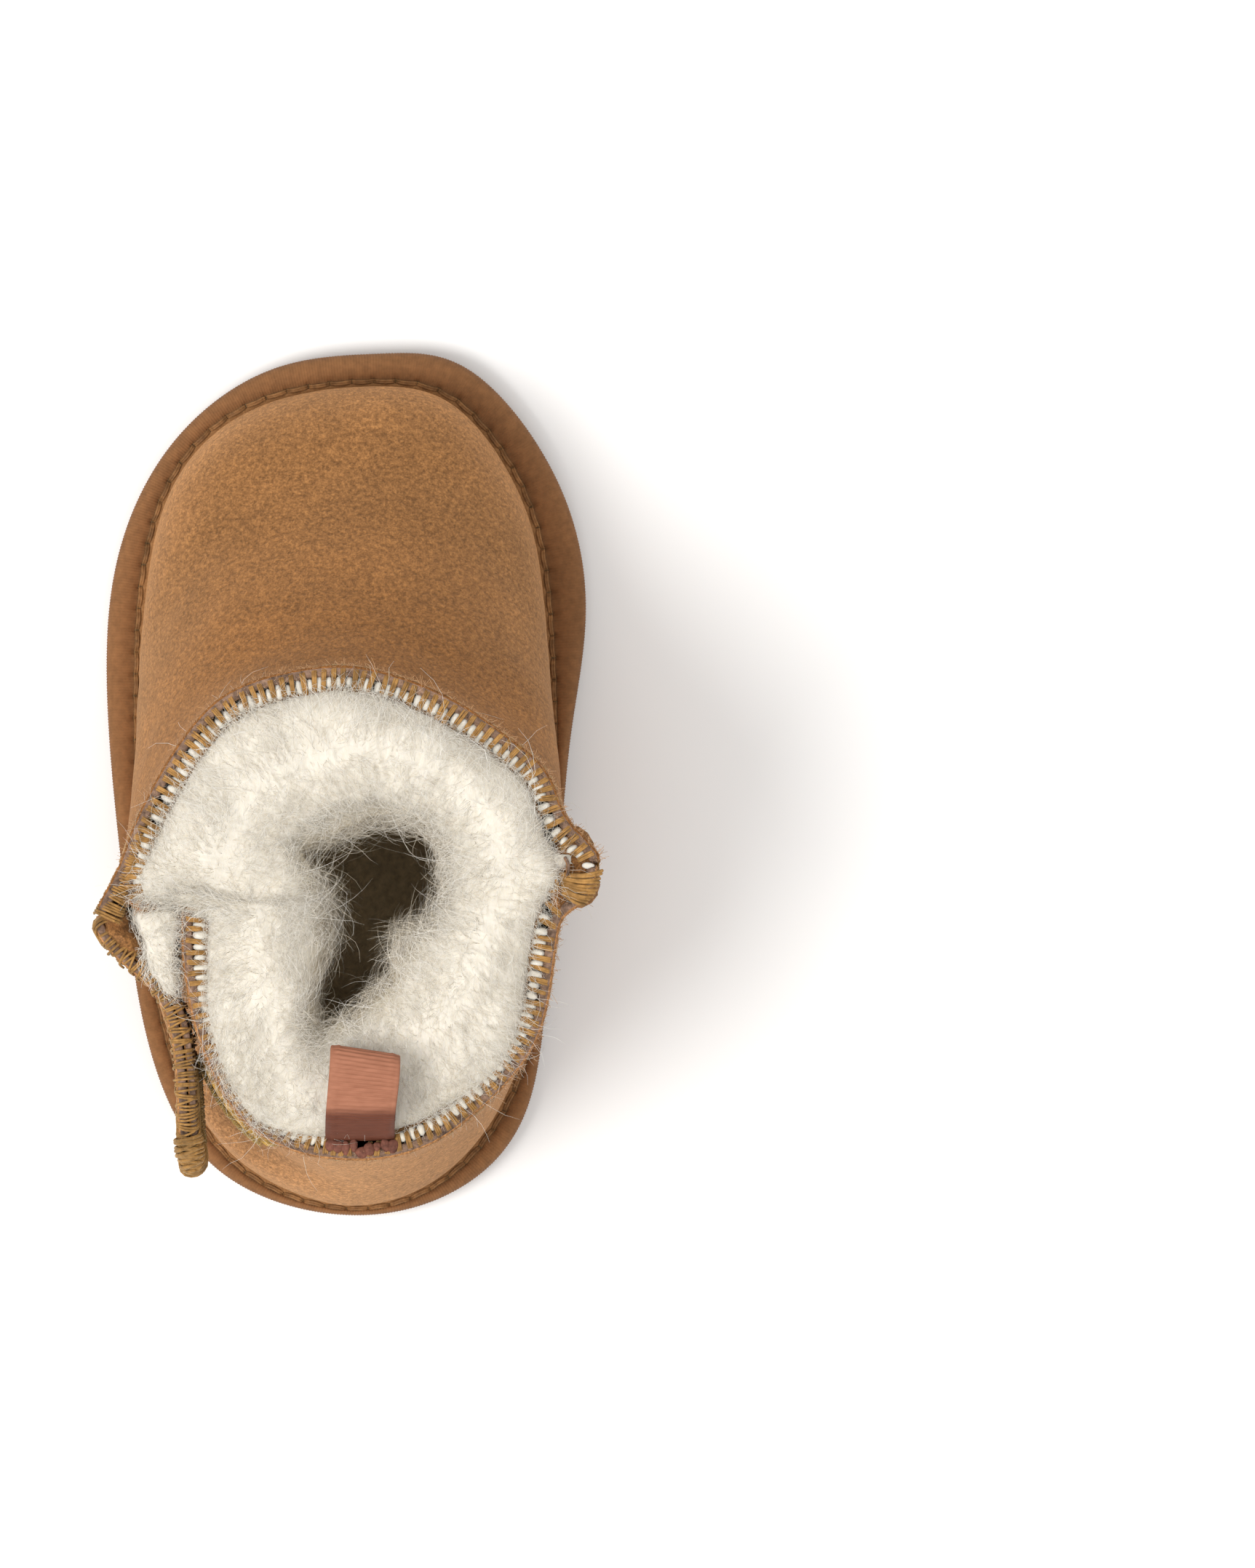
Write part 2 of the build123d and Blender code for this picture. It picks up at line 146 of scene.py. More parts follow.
def open_line(points, samples):
    """Smooth open curve through points, evenly spaced along its length."""
    points = np.array(points, float)
    count = len(points)
    matrix = np.zeros((count, count))
    right = np.zeros(points.shape)
    matrix[0, :2] = (2, 1)
    right[0] = 3 * (points[1] - points[0])
    matrix[-1, -2:] = (1, 2)
    right[-1] = 3 * (points[-1] - points[-2])
    for row in range(1, count - 1):
        matrix[row, row - 1:row + 2] = (1, 4, 1)
        right[row] = 3 * (points[row + 1] - points[row - 1])
    slopes = np.linalg.solve(matrix, right)
    place = np.linspace(0, count - 1, 40 * count)
    low = np.minimum(place.astype(int), count - 2)
    part = (place - low)[:, None]
    line = cubic(part, points[low], slopes[low], points[low + 1], slopes[low + 1])
    return resample(line, samples)


def resample(line, samples):
    """Even spacing along an open polyline."""
    length = np.concatenate([[0], np.cumsum(step_lengths(line))])
    wanted = np.linspace(0, length[-1], samples)
    return np.stack([np.interp(wanted, length, line[:, k]) for k in range(line.shape[1])], 1)


def resample_closed(line, samples):
    around = np.vstack([line, line[:1]])
    return resample(around, samples + 1)[:-1]


def step_lengths(line):
    return np.linalg.norm(np.diff(line, axis=0), axis=1)


def ring_length(line):
    return np.linalg.norm(np.roll(line, -1, 0) - line, axis=1).sum()


def relax(line, times):
    """Closed line with each point averaged with its neighbours, that many times."""
    for _ in range(times):
        line = (np.roll(line, 1, 0) + line + np.roll(line, -1, 0)) / 3
    return line


def nearest_on(line, places):
    """The point of a line closest to each place."""
    return line[np.argmin(((places[:, None] - line[None]) ** 2).sum(2), axis=1)]


def distance_to(places, targets):
    """Plan distance from each place to the nearest target."""
    return np.sqrt(((places[:, None] - targets[None]) ** 2).sum(2)).min(1)


def outward(line):
    """Unit outward normals of a closed anticlockwise plan line."""
    run = np.roll(line, -1, 0) - np.roll(line, 1, 0)
    run = unit(run)
    return np.stack([run[:, 1], -run[:, 0]], 1)


def inset(line, distance):
    return line - outward(line) * np.asarray(distance).reshape(-1, 1)


def rise_at(height):
    """Share of the way from the foot outline to the collar outline, smoothed over the levels."""
    heights = [level[0] for level in LEVELS]
    rises = [level[1] for level in LEVELS]
    return np.mean([np.interp(height + step, heights, rises) for step in (-3, -1.5, 0, 1.5, 3)])


def upper_line(height, tucked):
    """Outside plan line of the upper at a height."""
    ring = between(np.array(FOOT_RING, float), np.array(COLLAR_RING, float), rise_at(height))
    if tucked:
        share = smooth_step((height - SLIT_BOTTOM) / (SLIT_FULL - SLIT_BOTTOM))
        for station, place in TUCKED_STATIONS.items():
            ring[station] = between(ring[station], np.array(place, float), share)
    line = STATIONS @ ring
    return inset(line, 1.0 - smooth_step((height - SOLE_TOP) / 5))


def collar_height(y):
    share = (y - COLLAR_FRONT[0]) / (COLLAR_BACK[0] - COLLAR_FRONT[0])
    return between(COLLAR_FRONT[1], COLLAR_BACK[1], share)


def seam_side(points):
    """Distance behind the side-seam plane, negative in front of it."""
    return (np.asarray(points)[..., :2] - SEAM_INNER) @ SEAM_NORMAL


def noise(points, size, seed):
    """Smooth value noise from -1 to 1 at points in millimetres."""
    table = np.random.default_rng(SEED + seed).uniform(-1, 1, (32, 32, 32))
    place = np.asarray(points) / size
    low = np.floor(place).astype(int)
    part = smooth_step(place - low)
    total = 0
    for corner in np.ndindex(2, 2, 2):
        index = (low + corner) % 32
        weight = np.prod(np.where(np.array(corner) == 1, part, 1 - part), axis=-1)
        total = total + weight * table[index[..., 0], index[..., 1], index[..., 2]]
    return total


# ---------------------------------------------------------------- mesh making

def make_mesh(name, points, faces, materials, face_materials=None, body="root"):
    """Mesh object from points in millimetres and an array of quads or triangles."""
    mesh = bpy.data.meshes.new(name)
    faces = [np.asarray(group) for group in faces if len(group)]
    points = np.asarray(points, np.float32) * MM
    mesh.vertices.add(len(points))
    mesh.vertices.foreach_set("co", points.ravel())
    corners = np.concatenate([group.ravel() for group in faces])
    sizes = np.concatenate([np.full(len(group), group.shape[1]) for group in faces])
    mesh.loops.add(len(corners))
    mesh.loops.foreach_set("vertex_index", corners.astype(np.int32))
    mesh.polygons.add(len(sizes))
    starts = np.concatenate([[0], np.cumsum(sizes)[:-1]])
    mesh.polygons.foreach_set("loop_start", starts.astype(np.int32))
    mesh.polygons.foreach_set("use_smooth", np.ones(len(sizes), bool))
    for material in materials:
        mesh.materials.append(material)
    if face_materials is not None:
        mesh.polygons.foreach_set("material_index", np.asarray(face_materials, np.int32))
    mesh.update(calc_edges=True)
    mesh.validate()
    piece = bpy.data.objects.new(name, mesh)
    bpy.context.scene.collection.objects.link(piece)
    if body:
        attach(piece, body)
    return piece


def grid_faces(rows, columns, around=False):
    """Quads of a grid of rows by columns; around joins the last column to the first."""
    row, column = np.meshgrid(np.arange(rows - 1), np.arange(columns - (not around)), indexing="ij")
    after = (column + 1) % columns
    quads = np.stack([row * columns + column, row * columns + after,
                      (row + 1) * columns + after, (row + 1) * columns + column], -1)
    return quads.reshape(-1, 4)


def grid_normals(grid, around=False):
    if around:
        across = np.roll(grid, -1, 1) - np.roll(grid, 1, 1)
    else:
        across = np.gradient(grid, axis=1)
    up = np.gradient(grid, axis=0)
    return unit(np.cross(across, up))


def upward(normals, row):
    """The normals, turned over if they point down at that row."""
    return normals if normals[row, :, 2].mean() > 0 else -normals


def sheet_mesh(name, grid, thickness, materials, body="root", edge_round=0.45, relief=None):
    """Closed shell about a grid; relief is ribs on both faces, the last material the cut edge."""
    rows, columns = grid.shape[:2]
    normals = grid_normals(grid)
    half = thickness / 2
    rise = np.zeros((rows, columns)) if relief is None else relief
    front = grid + normals * (half + rise)[..., None]
    back = grid - normals * (half + rise)[..., None]
    border = ([(0, c) for c in range(columns)] + [(r, columns - 1) for r in range(1, rows)]
              + [(rows - 1, c) for c in range(columns - 2, -1, -1)]
              + [(r, 0) for r in range(rows - 2, 0, -1)])
    rim_rows, rim_columns = np.array(border).T
    inner_rows = np.clip(rim_rows, 1, rows - 2)
    inner_columns = np.clip(rim_columns, 1, columns - 2)
    out = grid[rim_rows, rim_columns] - grid[inner_rows, inner_columns]
    out = unit(out)
    reach = half * edge_round
    rims = [grid[rim_rows, rim_columns] + out * reach + normals[rim_rows, rim_columns] * offset
            for offset in (half * 0.62, -half * 0.62)]
    count = rows * columns
    points = np.concatenate([front.reshape(-1, 3), back.reshape(-1, 3), *rims])
    rim_index = rim_rows * columns + rim_columns
    loops = [rim_index, 2 * count + np.arange(len(border)),
             2 * count + len(border) + np.arange(len(border)), rim_index + count]
    faces = [grid_faces(rows, columns), grid_faces(rows, columns)[:, ::-1] + count]
    for upper, lower in zip(loops, loops[1:]):
        faces.append(np.stack([upper, lower, np.roll(lower, -1), np.roll(upper, -1)], 1))
    sizes = [len(group) for group in faces]
    which = np.concatenate([np.zeros(sizes[0] + sizes[1]), np.full(sum(sizes[2:]), len(materials) - 1)])
    which[sizes[0] + sizes[1]:sizes[0] + sizes[1] + sizes[2]] = 0
    return make_mesh(name, points, faces, materials, which, body)


def tubes(name, paths, radius, sides, materials, body="root", pick=None):
    """Round strands along many paths of equal length; radius is one number or one per point."""
    paths = np.asarray(paths, float)
    strands, count = paths.shape[:2]
    tangent = np.gradient(paths, axis=1)
    tangent = unit(tangent)
    start = np.cross(tangent[:, 0], np.array([0.31, 0.17, 0.93]))
    start = unit(start)
    side = np.zeros_like(paths)
    current = start
    for step in range(count):
        along = tangent[:, step]
        current = current - (current * along).sum(1)[:, None] * along
        current = unit(current)
        side[:, step] = current
    other = np.cross(tangent, side)
    angle = np.arange(sides) * 2 * np.pi / sides
    radius = np.broadcast_to(np.asarray(radius, float), (strands, count))[..., None, None]
    ring = (side[:, :, None] * np.cos(angle)[:, None] + other[:, :, None] * np.sin(angle)[:, None])
    points = (paths[:, :, None] + ring * radius).reshape(-1, 3)
    base = (np.arange(strands) * count * sides)[:, None, None]
    step = (np.arange(count - 1) * sides)[None, :, None]
    turn = np.arange(sides)[None, None, :]
    after = (turn + 1) % sides
    quads = np.stack([base + step + turn, base + step + after,
                      base + step + sides + after, base + step + sides + turn], -1)
    caps = [base[:, 0] + np.arange(sides)[::-1], base[:, 0] + (count - 1) * sides + np.arange(sides)]
    faces = [quads.reshape(-1, 4), np.concatenate(caps)]
    which = None
    if pick is not None:
        which = np.concatenate([np.repeat(pick, (count - 1) * sides), pick, pick])
    return make_mesh(name, points, faces, materials, which, body)


# ---------------------------------------------------------------- materials

def new_material(name, color, roughness, sheen=0.0, sheen_tint=(1, 1, 1), subsurface=0.0):
    material = bpy.data.materials.new(name)
    material.use_nodes = True
    shader = material.node_tree.nodes["Principled BSDF"]
    shader.inputs["Base Color"].default_value = (*color, 1)
    shader.inputs["Roughness"].default_value = roughness
    shader.inputs["Specular IOR Level"].default_value = 0.25
    shader.inputs["Sheen Weight"].default_value = sheen
    shader.inputs["Sheen Roughness"].default_value = 0.45
    shader.inputs["Sheen Tint"].default_value = (*sheen_tint, 1)
    if subsurface:
        shader.inputs["Subsurface Weight"].default_value = subsurface
        shader.inputs["Subsurface Radius"].default_value = (1.0, 0.85, 0.65)
        shader.inputs["Subsurface Scale"].default_value = 0.0015
    return material


class Nodes:
    """Short way to add and join the nodes of one material."""

    def __init__(self, material):
        self.tree = material.node_tree
        self.shader = self.tree.nodes["Principled BSDF"]
        self.place = self.tree.nodes.new("ShaderNodeTexCoord").outputs["Object"]

    def add(self, kind, **values):
        node = self.tree.nodes.new(kind)
        for key, value in values.items():
            setattr(node, key, value)
        return node

    def join(self, output, target):
        self.tree.links.new(output, target)

    def noise(self, scale, detail=2.0, roughness=0.5, stretch=None):
        node = self.add("ShaderNodeTexNoise")
        node.inputs["Scale"].default_value = scale
        node.inputs["Detail"].default_value = detail
        node.inputs["Roughness"].default_value = roughness
        source = self.place
        if stretch:
            mapping = self.add("ShaderNodeMapping")
            mapping.inputs["Scale"].default_value = stretch
            self.join(self.place, mapping.inputs["Vector"])
            source = mapping.outputs["Vector"]
        self.join(source, node.inputs["Vector"])
        return node.outputs["Fac"]

    def ramp(self, factor, stops):
        node = self.add("ShaderNodeValToRGB")
        elements = node.color_ramp.elements
        while len(elements) < len(stops):
            elements.new(0.5)
        for element, (place, color) in zip(elements, stops):
            element.position = place
            element.color = (*color, 1)
        self.join(factor, node.inputs["Fac"])
        return node.outputs["Color"]

    def mix(self, factor, first, second, blend="MIX"):
        node = self.add("ShaderNodeMix", data_type="RGBA", blend_type=blend)
        if isinstance(factor, float):
            node.inputs["Factor"].default_value = factor
        else:
            self.join(factor, node.inputs["Factor"])
        self.join(first, node.inputs["A"])
        self.join(second, node.inputs["B"])
        return node.outputs["Result"]

    def math(self, operation, first, second):
        node = self.add("ShaderNodeMath", operation=operation)
        for value, socket in zip((first, second), node.inputs):
            if isinstance(value, (int, float)):
                socket.default_value = value
            else:
                self.join(value, socket)
        return node.outputs["Value"]

    def bump(self, height, strength, distance):
        node = self.add("ShaderNodeBump")
        node.inputs["Strength"].default_value = strength
        node.inputs["Distance"].default_value = distance
        self.join(height, node.inputs["Height"])
        self.join(node.outputs["Normal"], self.shader.inputs["Normal"])

    def color(self, *layers):
        """Base colour from one layer, or from several multiplied together."""
        shaded = layers[0]
        for layer in layers[1:]:
            shaded = self.mix(1.0, shaded, layer, "MULTIPLY")
        self.join(shaded, self.shader.inputs["Base Color"])

    def along(self, axis):
        """Distance along an axis of the frame, in tenths of a metre."""
        split = self.add("ShaderNodeSeparateXYZ")
        self.join(self.place, split.inputs[0])
        return self.math("MULTIPLY", split.outputs[axis], 10.0)


def shade(color, factor):
    return tuple(min(channel * factor, 1.0) for channel in color)


def suede_material(name, color, contrast=1.0, painted_light_by_height=False):
    """Napped suede: soft blotches and tufts of nap; the height option adds a painted highlight low round
    the toe and painted shade high on the vamp.
    """
    material = new_material(name, color, 0.92, sheen=0.2, sheen_tint=(1.0, 0.6, 0.3))
    nodes = Nodes(material)
    blotch = nodes.noise(75, 3, 0.55)
    nap = nodes.noise(3200, 3, 0.65, stretch=(1, 1, 0.55))
    tuft = nodes.noise(1450, 2, 0.5, stretch=(1, 1, 0.55))
    base = nodes.ramp(blotch, [(0.3, shade(color, 0.88)), (0.7, shade(color, 1.1))])
    low, high = 1 - 0.45 * contrast, 1 + 0.65 * contrast
    fine = nodes.ramp(nodes.math("ADD", nodes.math("MULTIPLY", nap, 0.55),
                                 nodes.math("MULTIPLY", tuft, 0.45)),
                      [(0.36, (low, low * 0.95, low * 0.88)), (0.5, (0.98, 0.98, 0.98)),
                       (0.66, (high, high * 1.03, high * 1.06))])
    layers = [base, fine]
    if painted_light_by_height:
        # Painted light by height: a painted highlight low round the toe rim and painted shade up the vamp
        # towards the collar, where it slopes away from the light.
        layers.append(nodes.ramp(nodes.along("Z"), [
            (0.18, (1.12, 1.12, 1.12)), (0.4, (0.80, 0.80, 0.79)),
            (0.58, (0.82, 0.79, 0.73)), (0.80, (0.70, 0.63, 0.50))]))
    nodes.color(*layers)
    nodes.bump(nodes.math("ADD", nap, nodes.math("MULTIPLY", tuft, 0.8)), 0.6, 0.0003)
    return material


def thread_material(name, color):
    material = new_material(name, color, 0.6, sheen=0.2, sheen_tint=(1.0, 0.85, 0.5))
    nodes = Nodes(material)
    ply = nodes.noise(1100, 2, 0.5, stretch=(1, 1, 2.5))
    patch = nodes.noise(160, 2, 0.5)
    base = nodes.ramp(patch, [(0.32, shade(color, 0.72)), (0.68, shade(color, 1.25))])
    fine = nodes.ramp(ply, [(0.35, (0.7, 0.68, 0.62)), (0.65, (1.2, 1.2, 1.15))])
    nodes.color(base, fine)
    nodes.bump(ply, 0.5, 0.0003)
    return material


def wool_material(name, color, subsurface=0.35):
    """Dense fleece under the fibres: creamy blotches and soft fibre grain."""
    material = new_material(name, color, 0.95, sheen=0.25, subsurface=subsurface)
    nodes = Nodes(material)
    clump = nodes.noise(110, 2, 0.5)
    fibre = nodes.noise(1500, 3, 0.65, stretch=(1.0, 0.4, 0.7))
    base = nodes.ramp(clump, [(0.3, shade(color, 0.93)), (0.5, color), (0.72, shade(color, 1.03))])
    fine = nodes.ramp(fibre, [(0.32, (0.94, 0.93, 0.9)), (0.6, (1.02, 1.02, 1.02))])
    # Below the collar the pile is painted darker and warmer: painted shade down into the opening.
    warm = nodes.ramp(nodes.along("Z"), [(0.6, (0.80, 0.68, 0.46)), (0.77, (0.96, 0.88, 0.70)),
                                         (0.84, (1, 1, 1))])
    nodes.color(base, fine, warm)
    nodes.bump(fibre, 0.45, 0.0004)
    return material


def grain_material(name, color, scale, roughness=0.8, contrast=0.25, depth=0.0002):
    """Plain speckled material for foam, board, tape and hidden pieces."""
    material = new_material(name, color, roughness)
    nodes = Nodes(material)
    grain = nodes.noise(scale, 3, 0.6)
    patch = nodes.noise(scale / 12, 2, 0.5)
    base = nodes.ramp(patch, [(0.3, shade(color, 1 - contrast / 2)), (0.7, shade(color, 1 + contrast / 2))])
    fine = nodes.ramp(grain, [(0.3, (1 - contrast,) * 3), (0.7, (1 + contrast,) * 3)])
    nodes.color(base, fine)
    nodes.bump(grain, 0.4, depth)
    return material


def ribbon_material(name, color):
    """Terracotta grosgrain, with painted shade on the side of the loop that faces the heel."""
    material = new_material(name, color, 0.7)
    nodes = Nodes(material)
    heelward = nodes.along("Y")
    # Past the loop's top fold towards the heel the colour drops to a deep brown: painted shade on the
    # loop's steep heel side.
    base = nodes.ramp(heelward, [(0.4, color), (0.47, color), (0.484, (0.125, 0.038, 0.02))])
    weave = nodes.noise(1600, 2, 0.5, stretch=(0.25, 1, 1))
    fine = nodes.ramp(weave, [(0.3, (0.88, 0.86, 0.84)), (0.7, (1.1, 1.12, 1.14))])
    nodes.color(base, fine)
    nodes.bump(weave, 0.3, 0.0001)
    return material


SUEDE_COLOR = (0.335, 0.149, 0.047)
suede = suede_material("suede", (0.345, 0.162, 0.060))
# The vamp's suede carries a painted highlight low down and painted shade high up.
vamp_suede = suede_material("vamp_suede", SUEDE_COLOR, 1.0, painted_light_by_height=True)
facing_suede = suede_material("facing_suede", shade(SUEDE_COLOR, 0.85), 0.8)
raw_edge = grain_material("raw_suede_edge", (0.18, 0.112, 0.078), 1300, 0.95, 0.6, 0.0005)
fold_suede = suede_material("fold_suede", shade(SUEDE_COLOR, 0.66), 1.2)
lip_suede = suede_material("lip_suede", (0.29, 0.138, 0.052), 0.4)
binding_tape = grain_material("binding_tape", (0.232, 0.106, 0.041), 900, 0.85, 0.16, 0.00015)
thread = thread_material("thread", (0.315, 0.166, 0.050))
thread_dark = thread_material("chain_thread", (0.20, 0.10, 0.035))
sole_thread = thread_material("sole_thread", (0.25, 0.118, 0.044))
wool = wool_material("wool", (0.70, 0.66, 0.585))
ribbon = ribbon_material("ribbon", (0.33, 0.135, 0.078))
# Frayed ribbon ends at the collar, coloured darker than the ribbon as painted shade under the loop.
shaded_ribbon_fray = grain_material("ribbon_fray", (0.16, 0.06, 0.04), 1500, 0.8, 0.4, 0.0002)
footbed_pile = grain_material("footbed_pile", (0.55, 0.40, 0.22), 900, 0.95, 0.2, 0.0004)
foam = grain_material("foam", (0.72, 0.66, 0.56), 1600, 0.8, 0.12, 0.0002)
board = grain_material("fibre_board", (0.45, 0.38, 0.28), 800, 0.9, 0.2, 0.0002)
outsole_suede = suede_material("outsole_suede", (0.25, 0.125, 0.055), 0.7)
hook_tape = grain_material("hook_tape", (0.30, 0.18, 0.06), 1300, 0.6, 0.35, 0.0004)
loop_tape = grain_material("loop_tape", (0.36, 0.22, 0.055), 1100, 0.9, 0.6, 0.0006)
loop_thread = new_material("loop_thread", (0.40, 0.26, 0.07), 0.7, sheen=0.2)
hook_thread = new_material("hook_thread", (0.30, 0.18, 0.06), 0.35)
label_satin = grain_material("label_satin", (0.80, 0.79, 0.76), 1800, 0.45, 0.06, 0.0001)
FIBRE_TINTS = [
    new_material("wool_fibre_cream", (0.77, 0.72, 0.63), 0.75, sheen=0.15),
    new_material("wool_fibre_ivory", (0.84, 0.81, 0.75), 0.75, sheen=0.15),
    new_material("wool_fibre_warm", (0.73, 0.66, 0.54), 0.75, sheen=0.15),
]
FUZZ_TINTS = [
    new_material("suede_fuzz_light", (0.52, 0.30, 0.15), 0.8, sheen=0.1),
    new_material("suede_fuzz_brown", (0.33, 0.17, 0.07), 0.8, sheen=0.1),
]


# ---------------------------------------------------------------- upper panels

# How far the panels stand out beside a side seam, as (distance from the seam, outward) at the
# collar: the front panel slopes out to the seam and the heel panel drops off steeply behind it.
MEDIAL_FRONT_EAR = [(0, 5.0), (1.2, 4.8), (3.8, 2.9), (5.2, 1.6), (7.5, 0.4), (9.5, 0)]
MEDIAL_BACK_EAR = [(0, 4.7), (3.0, 4.5), (4.8, 3.6), (6.0, 1.6), (7.0, 0.5), (8.5, 0)]
LATERAL_FRONT_EAR = [(0, 3.6), (0.9, 3.0), (3.8, 1.3), (6.0, 0.4), (8.5, 0)]
LATERAL_BACK_EAR = [(0, 3.4), (1.2, 2.8), (2.6, 1.2), (4.5, 0.2), (6.0, 0)]
SEAM_GAP = 0.44


def ear(apart, table, rise):
    """Outward stand beside a seam; the ridge gets lower and narrower towards the sole."""
    away, out = np.array(table, float).T
    width = between(0.55, 1.0, rise)
    return np.interp(np.abs(apart), away * width, out * between(0.5, 1.0, rise))


def panel_line(height, distance, tucked, front):
    """Plan line of a panel at a height, inset by a distance, with its ears at the seams."""
    rise = rise_at(height)
    line = inset(upper_line(height, tucked), distance)
    apart = seam_side(line)
    medial = line[:, 0] < 0
    medial_table = MEDIAL_FRONT_EAR if front else MEDIAL_BACK_EAR
    lateral_table = LATERAL_FRONT_EAR if front else LATERAL_BACK_EAR
    out = np.where(medial, ear(apart, medial_table, rise), ear(apart, lateral_table, rise))
    if not front:
        open_slit = smooth_step((height - SLIT_BOTTOM + 6) / 8)
        out = np.where(medial, out, out * (1 - open_slit))
    near = smooth_step((12 - np.abs(apart)) / 3)
    heading = outward(line)
    away = np.where(medial, -1, 1)[:, None] * SEAM_RUN
    heading = heading + (away - heading) * near[:, None]
    line = line + heading * out[:, None]
    keep = apart < -SEAM_GAP if front else apart > SEAM_GAP
    first = np.arange(DENSE)[keep & ~np.roll(keep, 1)][0]
    return np.roll(line, -first, 0)[:keep.sum()]


MEAN_COLLAR = 84
PANEL_ROWS, PANEL_COLUMNS = 110, 420


def panel_grid(middle, tucked, front, rows, columns):
    """Middle surface of a suede panel from the sole to the collar."""
    grid = []
    low = SOLE_TOP + 0.4
    for share in np.linspace(0, 1, rows):
        height = between(low, MEAN_COLLAR, share)
        line = resample(panel_line(height, middle, tucked, front), columns)
        z = between(low, collar_height(line[:, 1]), share)
        grid.append(np.column_stack([line, z]))
    return np.array(grid)


def soften(grid, amount=0.35):
    """Slow dents and ripples of worn suede, square to the surface."""
    normals = grid_normals(grid)
    wave = noise(grid, 15, 1) * amount + noise(grid, 6, 2) * amount * 0.3
    fade = smooth_step((grid[..., 2] - SOLE_TOP - 2) / 10)
    return grid + normals * (wave * fade)[..., None]


def suede_panel(name, node, tucked, front, material):
    grid = panel_grid(SUEDE / 2, tucked, front, PANEL_ROWS, PANEL_COLUMNS)
    panel = sheet_mesh(name, soften(grid), SUEDE, [material, raw_edge])
    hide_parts(node)


suede_panel("front_suede_panel", "front_upper", False, True, vamp_suede)
suede_panel("heel_suede_panel", "back_upper", True, False, suede)

# Inner turned edge of the front panel at the closure side, ending in a rounded corner.
CORNER_LINE = [
    (31.15, 8.0), (32.25, 12.0), (32.3, 15.2), (31.3, 17.5), (29.5, 18.8), (27.8, 19.2),
]
CORNER_START_Y = 8.0
CORNER_DEPTH = 22


def corner_piece():
    line = resample(open_line(CORNER_LINE, 120), 70)
    ahead = np.gradient(line, axis=0)
    ahead = unit(ahead)
    line = line + np.column_stack([-ahead[:, 1], ahead[:, 0]]) * (SUEDE / 2 + 0.12)
    rows = []
    for share in np.linspace(0, 1, 24):
        top = collar_height(line[:, 1]) - 0.2
        rows.append(np.column_stack([line, between(top - CORNER_DEPTH, top, share)]))
    corner = sheet_mesh("front_corner_turn", soften(np.array(rows), 0.2), SUEDE,
                        [suede, raw_edge])


corner_piece()


# ---------------------------------------------------------------- sole

def lip_line(reach):
    """Plan line outside the foot outline, on the sole."""
    return inset(STATIONS @ np.array(FOOT_RING, float), -reach)


LIP_REACH = 0.75
RIB_PITCH = 0.42
POINTS_PER_RIB = 4
RIB_HEIGHT = 0.045
UNDER_FOLD = 7.8  # width of the tape under the sole
TAPE_PROFILE = [
    # share of the way from the stitches to the rim, height
    (-0.35, 6.55), (-0.12, 6.8), (0.0, 6.9), (0.08, 7.02), (0.2, 7.3), (0.36, 7.55), (0.55, 7.62),
    (0.72, 7.45), (0.86, 7.05), (0.95, 6.4), (0.995, 5.5), (1.0, 4.6), (0.99, 3.7), (0.94, 2.8),
    (0.85, 2.1), (0.7, 1.75),
]


def binding_piece():
    """Woven tape folded over the sole's rim, ribbed across, pulled down by its stitches."""
    columns = int(ring_length(SOLE_LINE) / RIB_PITCH) * POINTS_PER_RIB
    outer = resample_closed(SOLE_LINE, columns)
    seam = resample_closed(lip_line(LIP_REACH), DENSE * 2)
    # The nearest stitch-line point to each rim point keeps the ribs square to the rim.
    inner = relax(nearest_on(seam, outer), 30)
    under = resample_closed(inset(SOLE_LINE, UNDER_FOLD), DENSE)
    under = relax(nearest_on(under, outer), 30)
    rows = []
    for share, height in TAPE_PROFILE:
        plan = between(inner, outer, share)
        rows.append(np.column_stack([plan, np.full(columns, height)]))
    turned_in = between(inner, outer, TAPE_PROFILE[-1][0])
    for share, height in [(0.5, 1.62), (0.0, 1.6)]:
        plan = between(under, turned_in, share)
        rows.append(np.column_stack([plan, np.full(columns, height)]))
    rows.append(rows[-1] + np.array([0, 0, 1.1]))
    rows.append(rows[0] + np.array([0, 0, -0.1]))
    grid = np.array(rows)
    normals = grid_normals(grid, around=True)
    normals *= np.where((normals * np.array([0, 0, 1.0])).sum(2)[3].mean() > 0, 1, -1)
    rib = np.cos(np.arange(columns) * 2 * np.pi / POINTS_PER_RIB + 0.4)
    grid[2:-2] += normals[2:-2] * (rib * RIB_HEIGHT)[None, :, None]
    puff = noise(grid, 9, 3) * 0.18
    grid[4:-4, :, 2] += puff[4:-4]
    holes = stitch_holes()
    for row in (2, 3):
        apart = distance_to(grid[row][:, :2], holes)
        grid[row, :, 2] -= 0.75 * np.exp(-(apart / 0.42) ** 2)
    piece = make_mesh("sole_binding_tape", grid.reshape(-1, 3),
                      [grid_faces(len(grid), columns, True),
                       closing_faces(len(grid), columns)], [binding_tape])
    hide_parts("sole_binding")


def closing_faces(rows, columns):
    """Quads that join the last row of a ring-shaped grid back to its first."""
    column = np.arange(columns)
    after = (column + 1) % columns
    last = (rows - 1) * columns
    return np.stack([last + column, last + after, after, column], 1)


SOLE_STITCH_PITCH = 3.25


def stitch_holes():
    line = lip_line(LIP_REACH + 0.2)
    return resample_closed(line, round(ring_length(line) / SOLE_STITCH_PITCH))


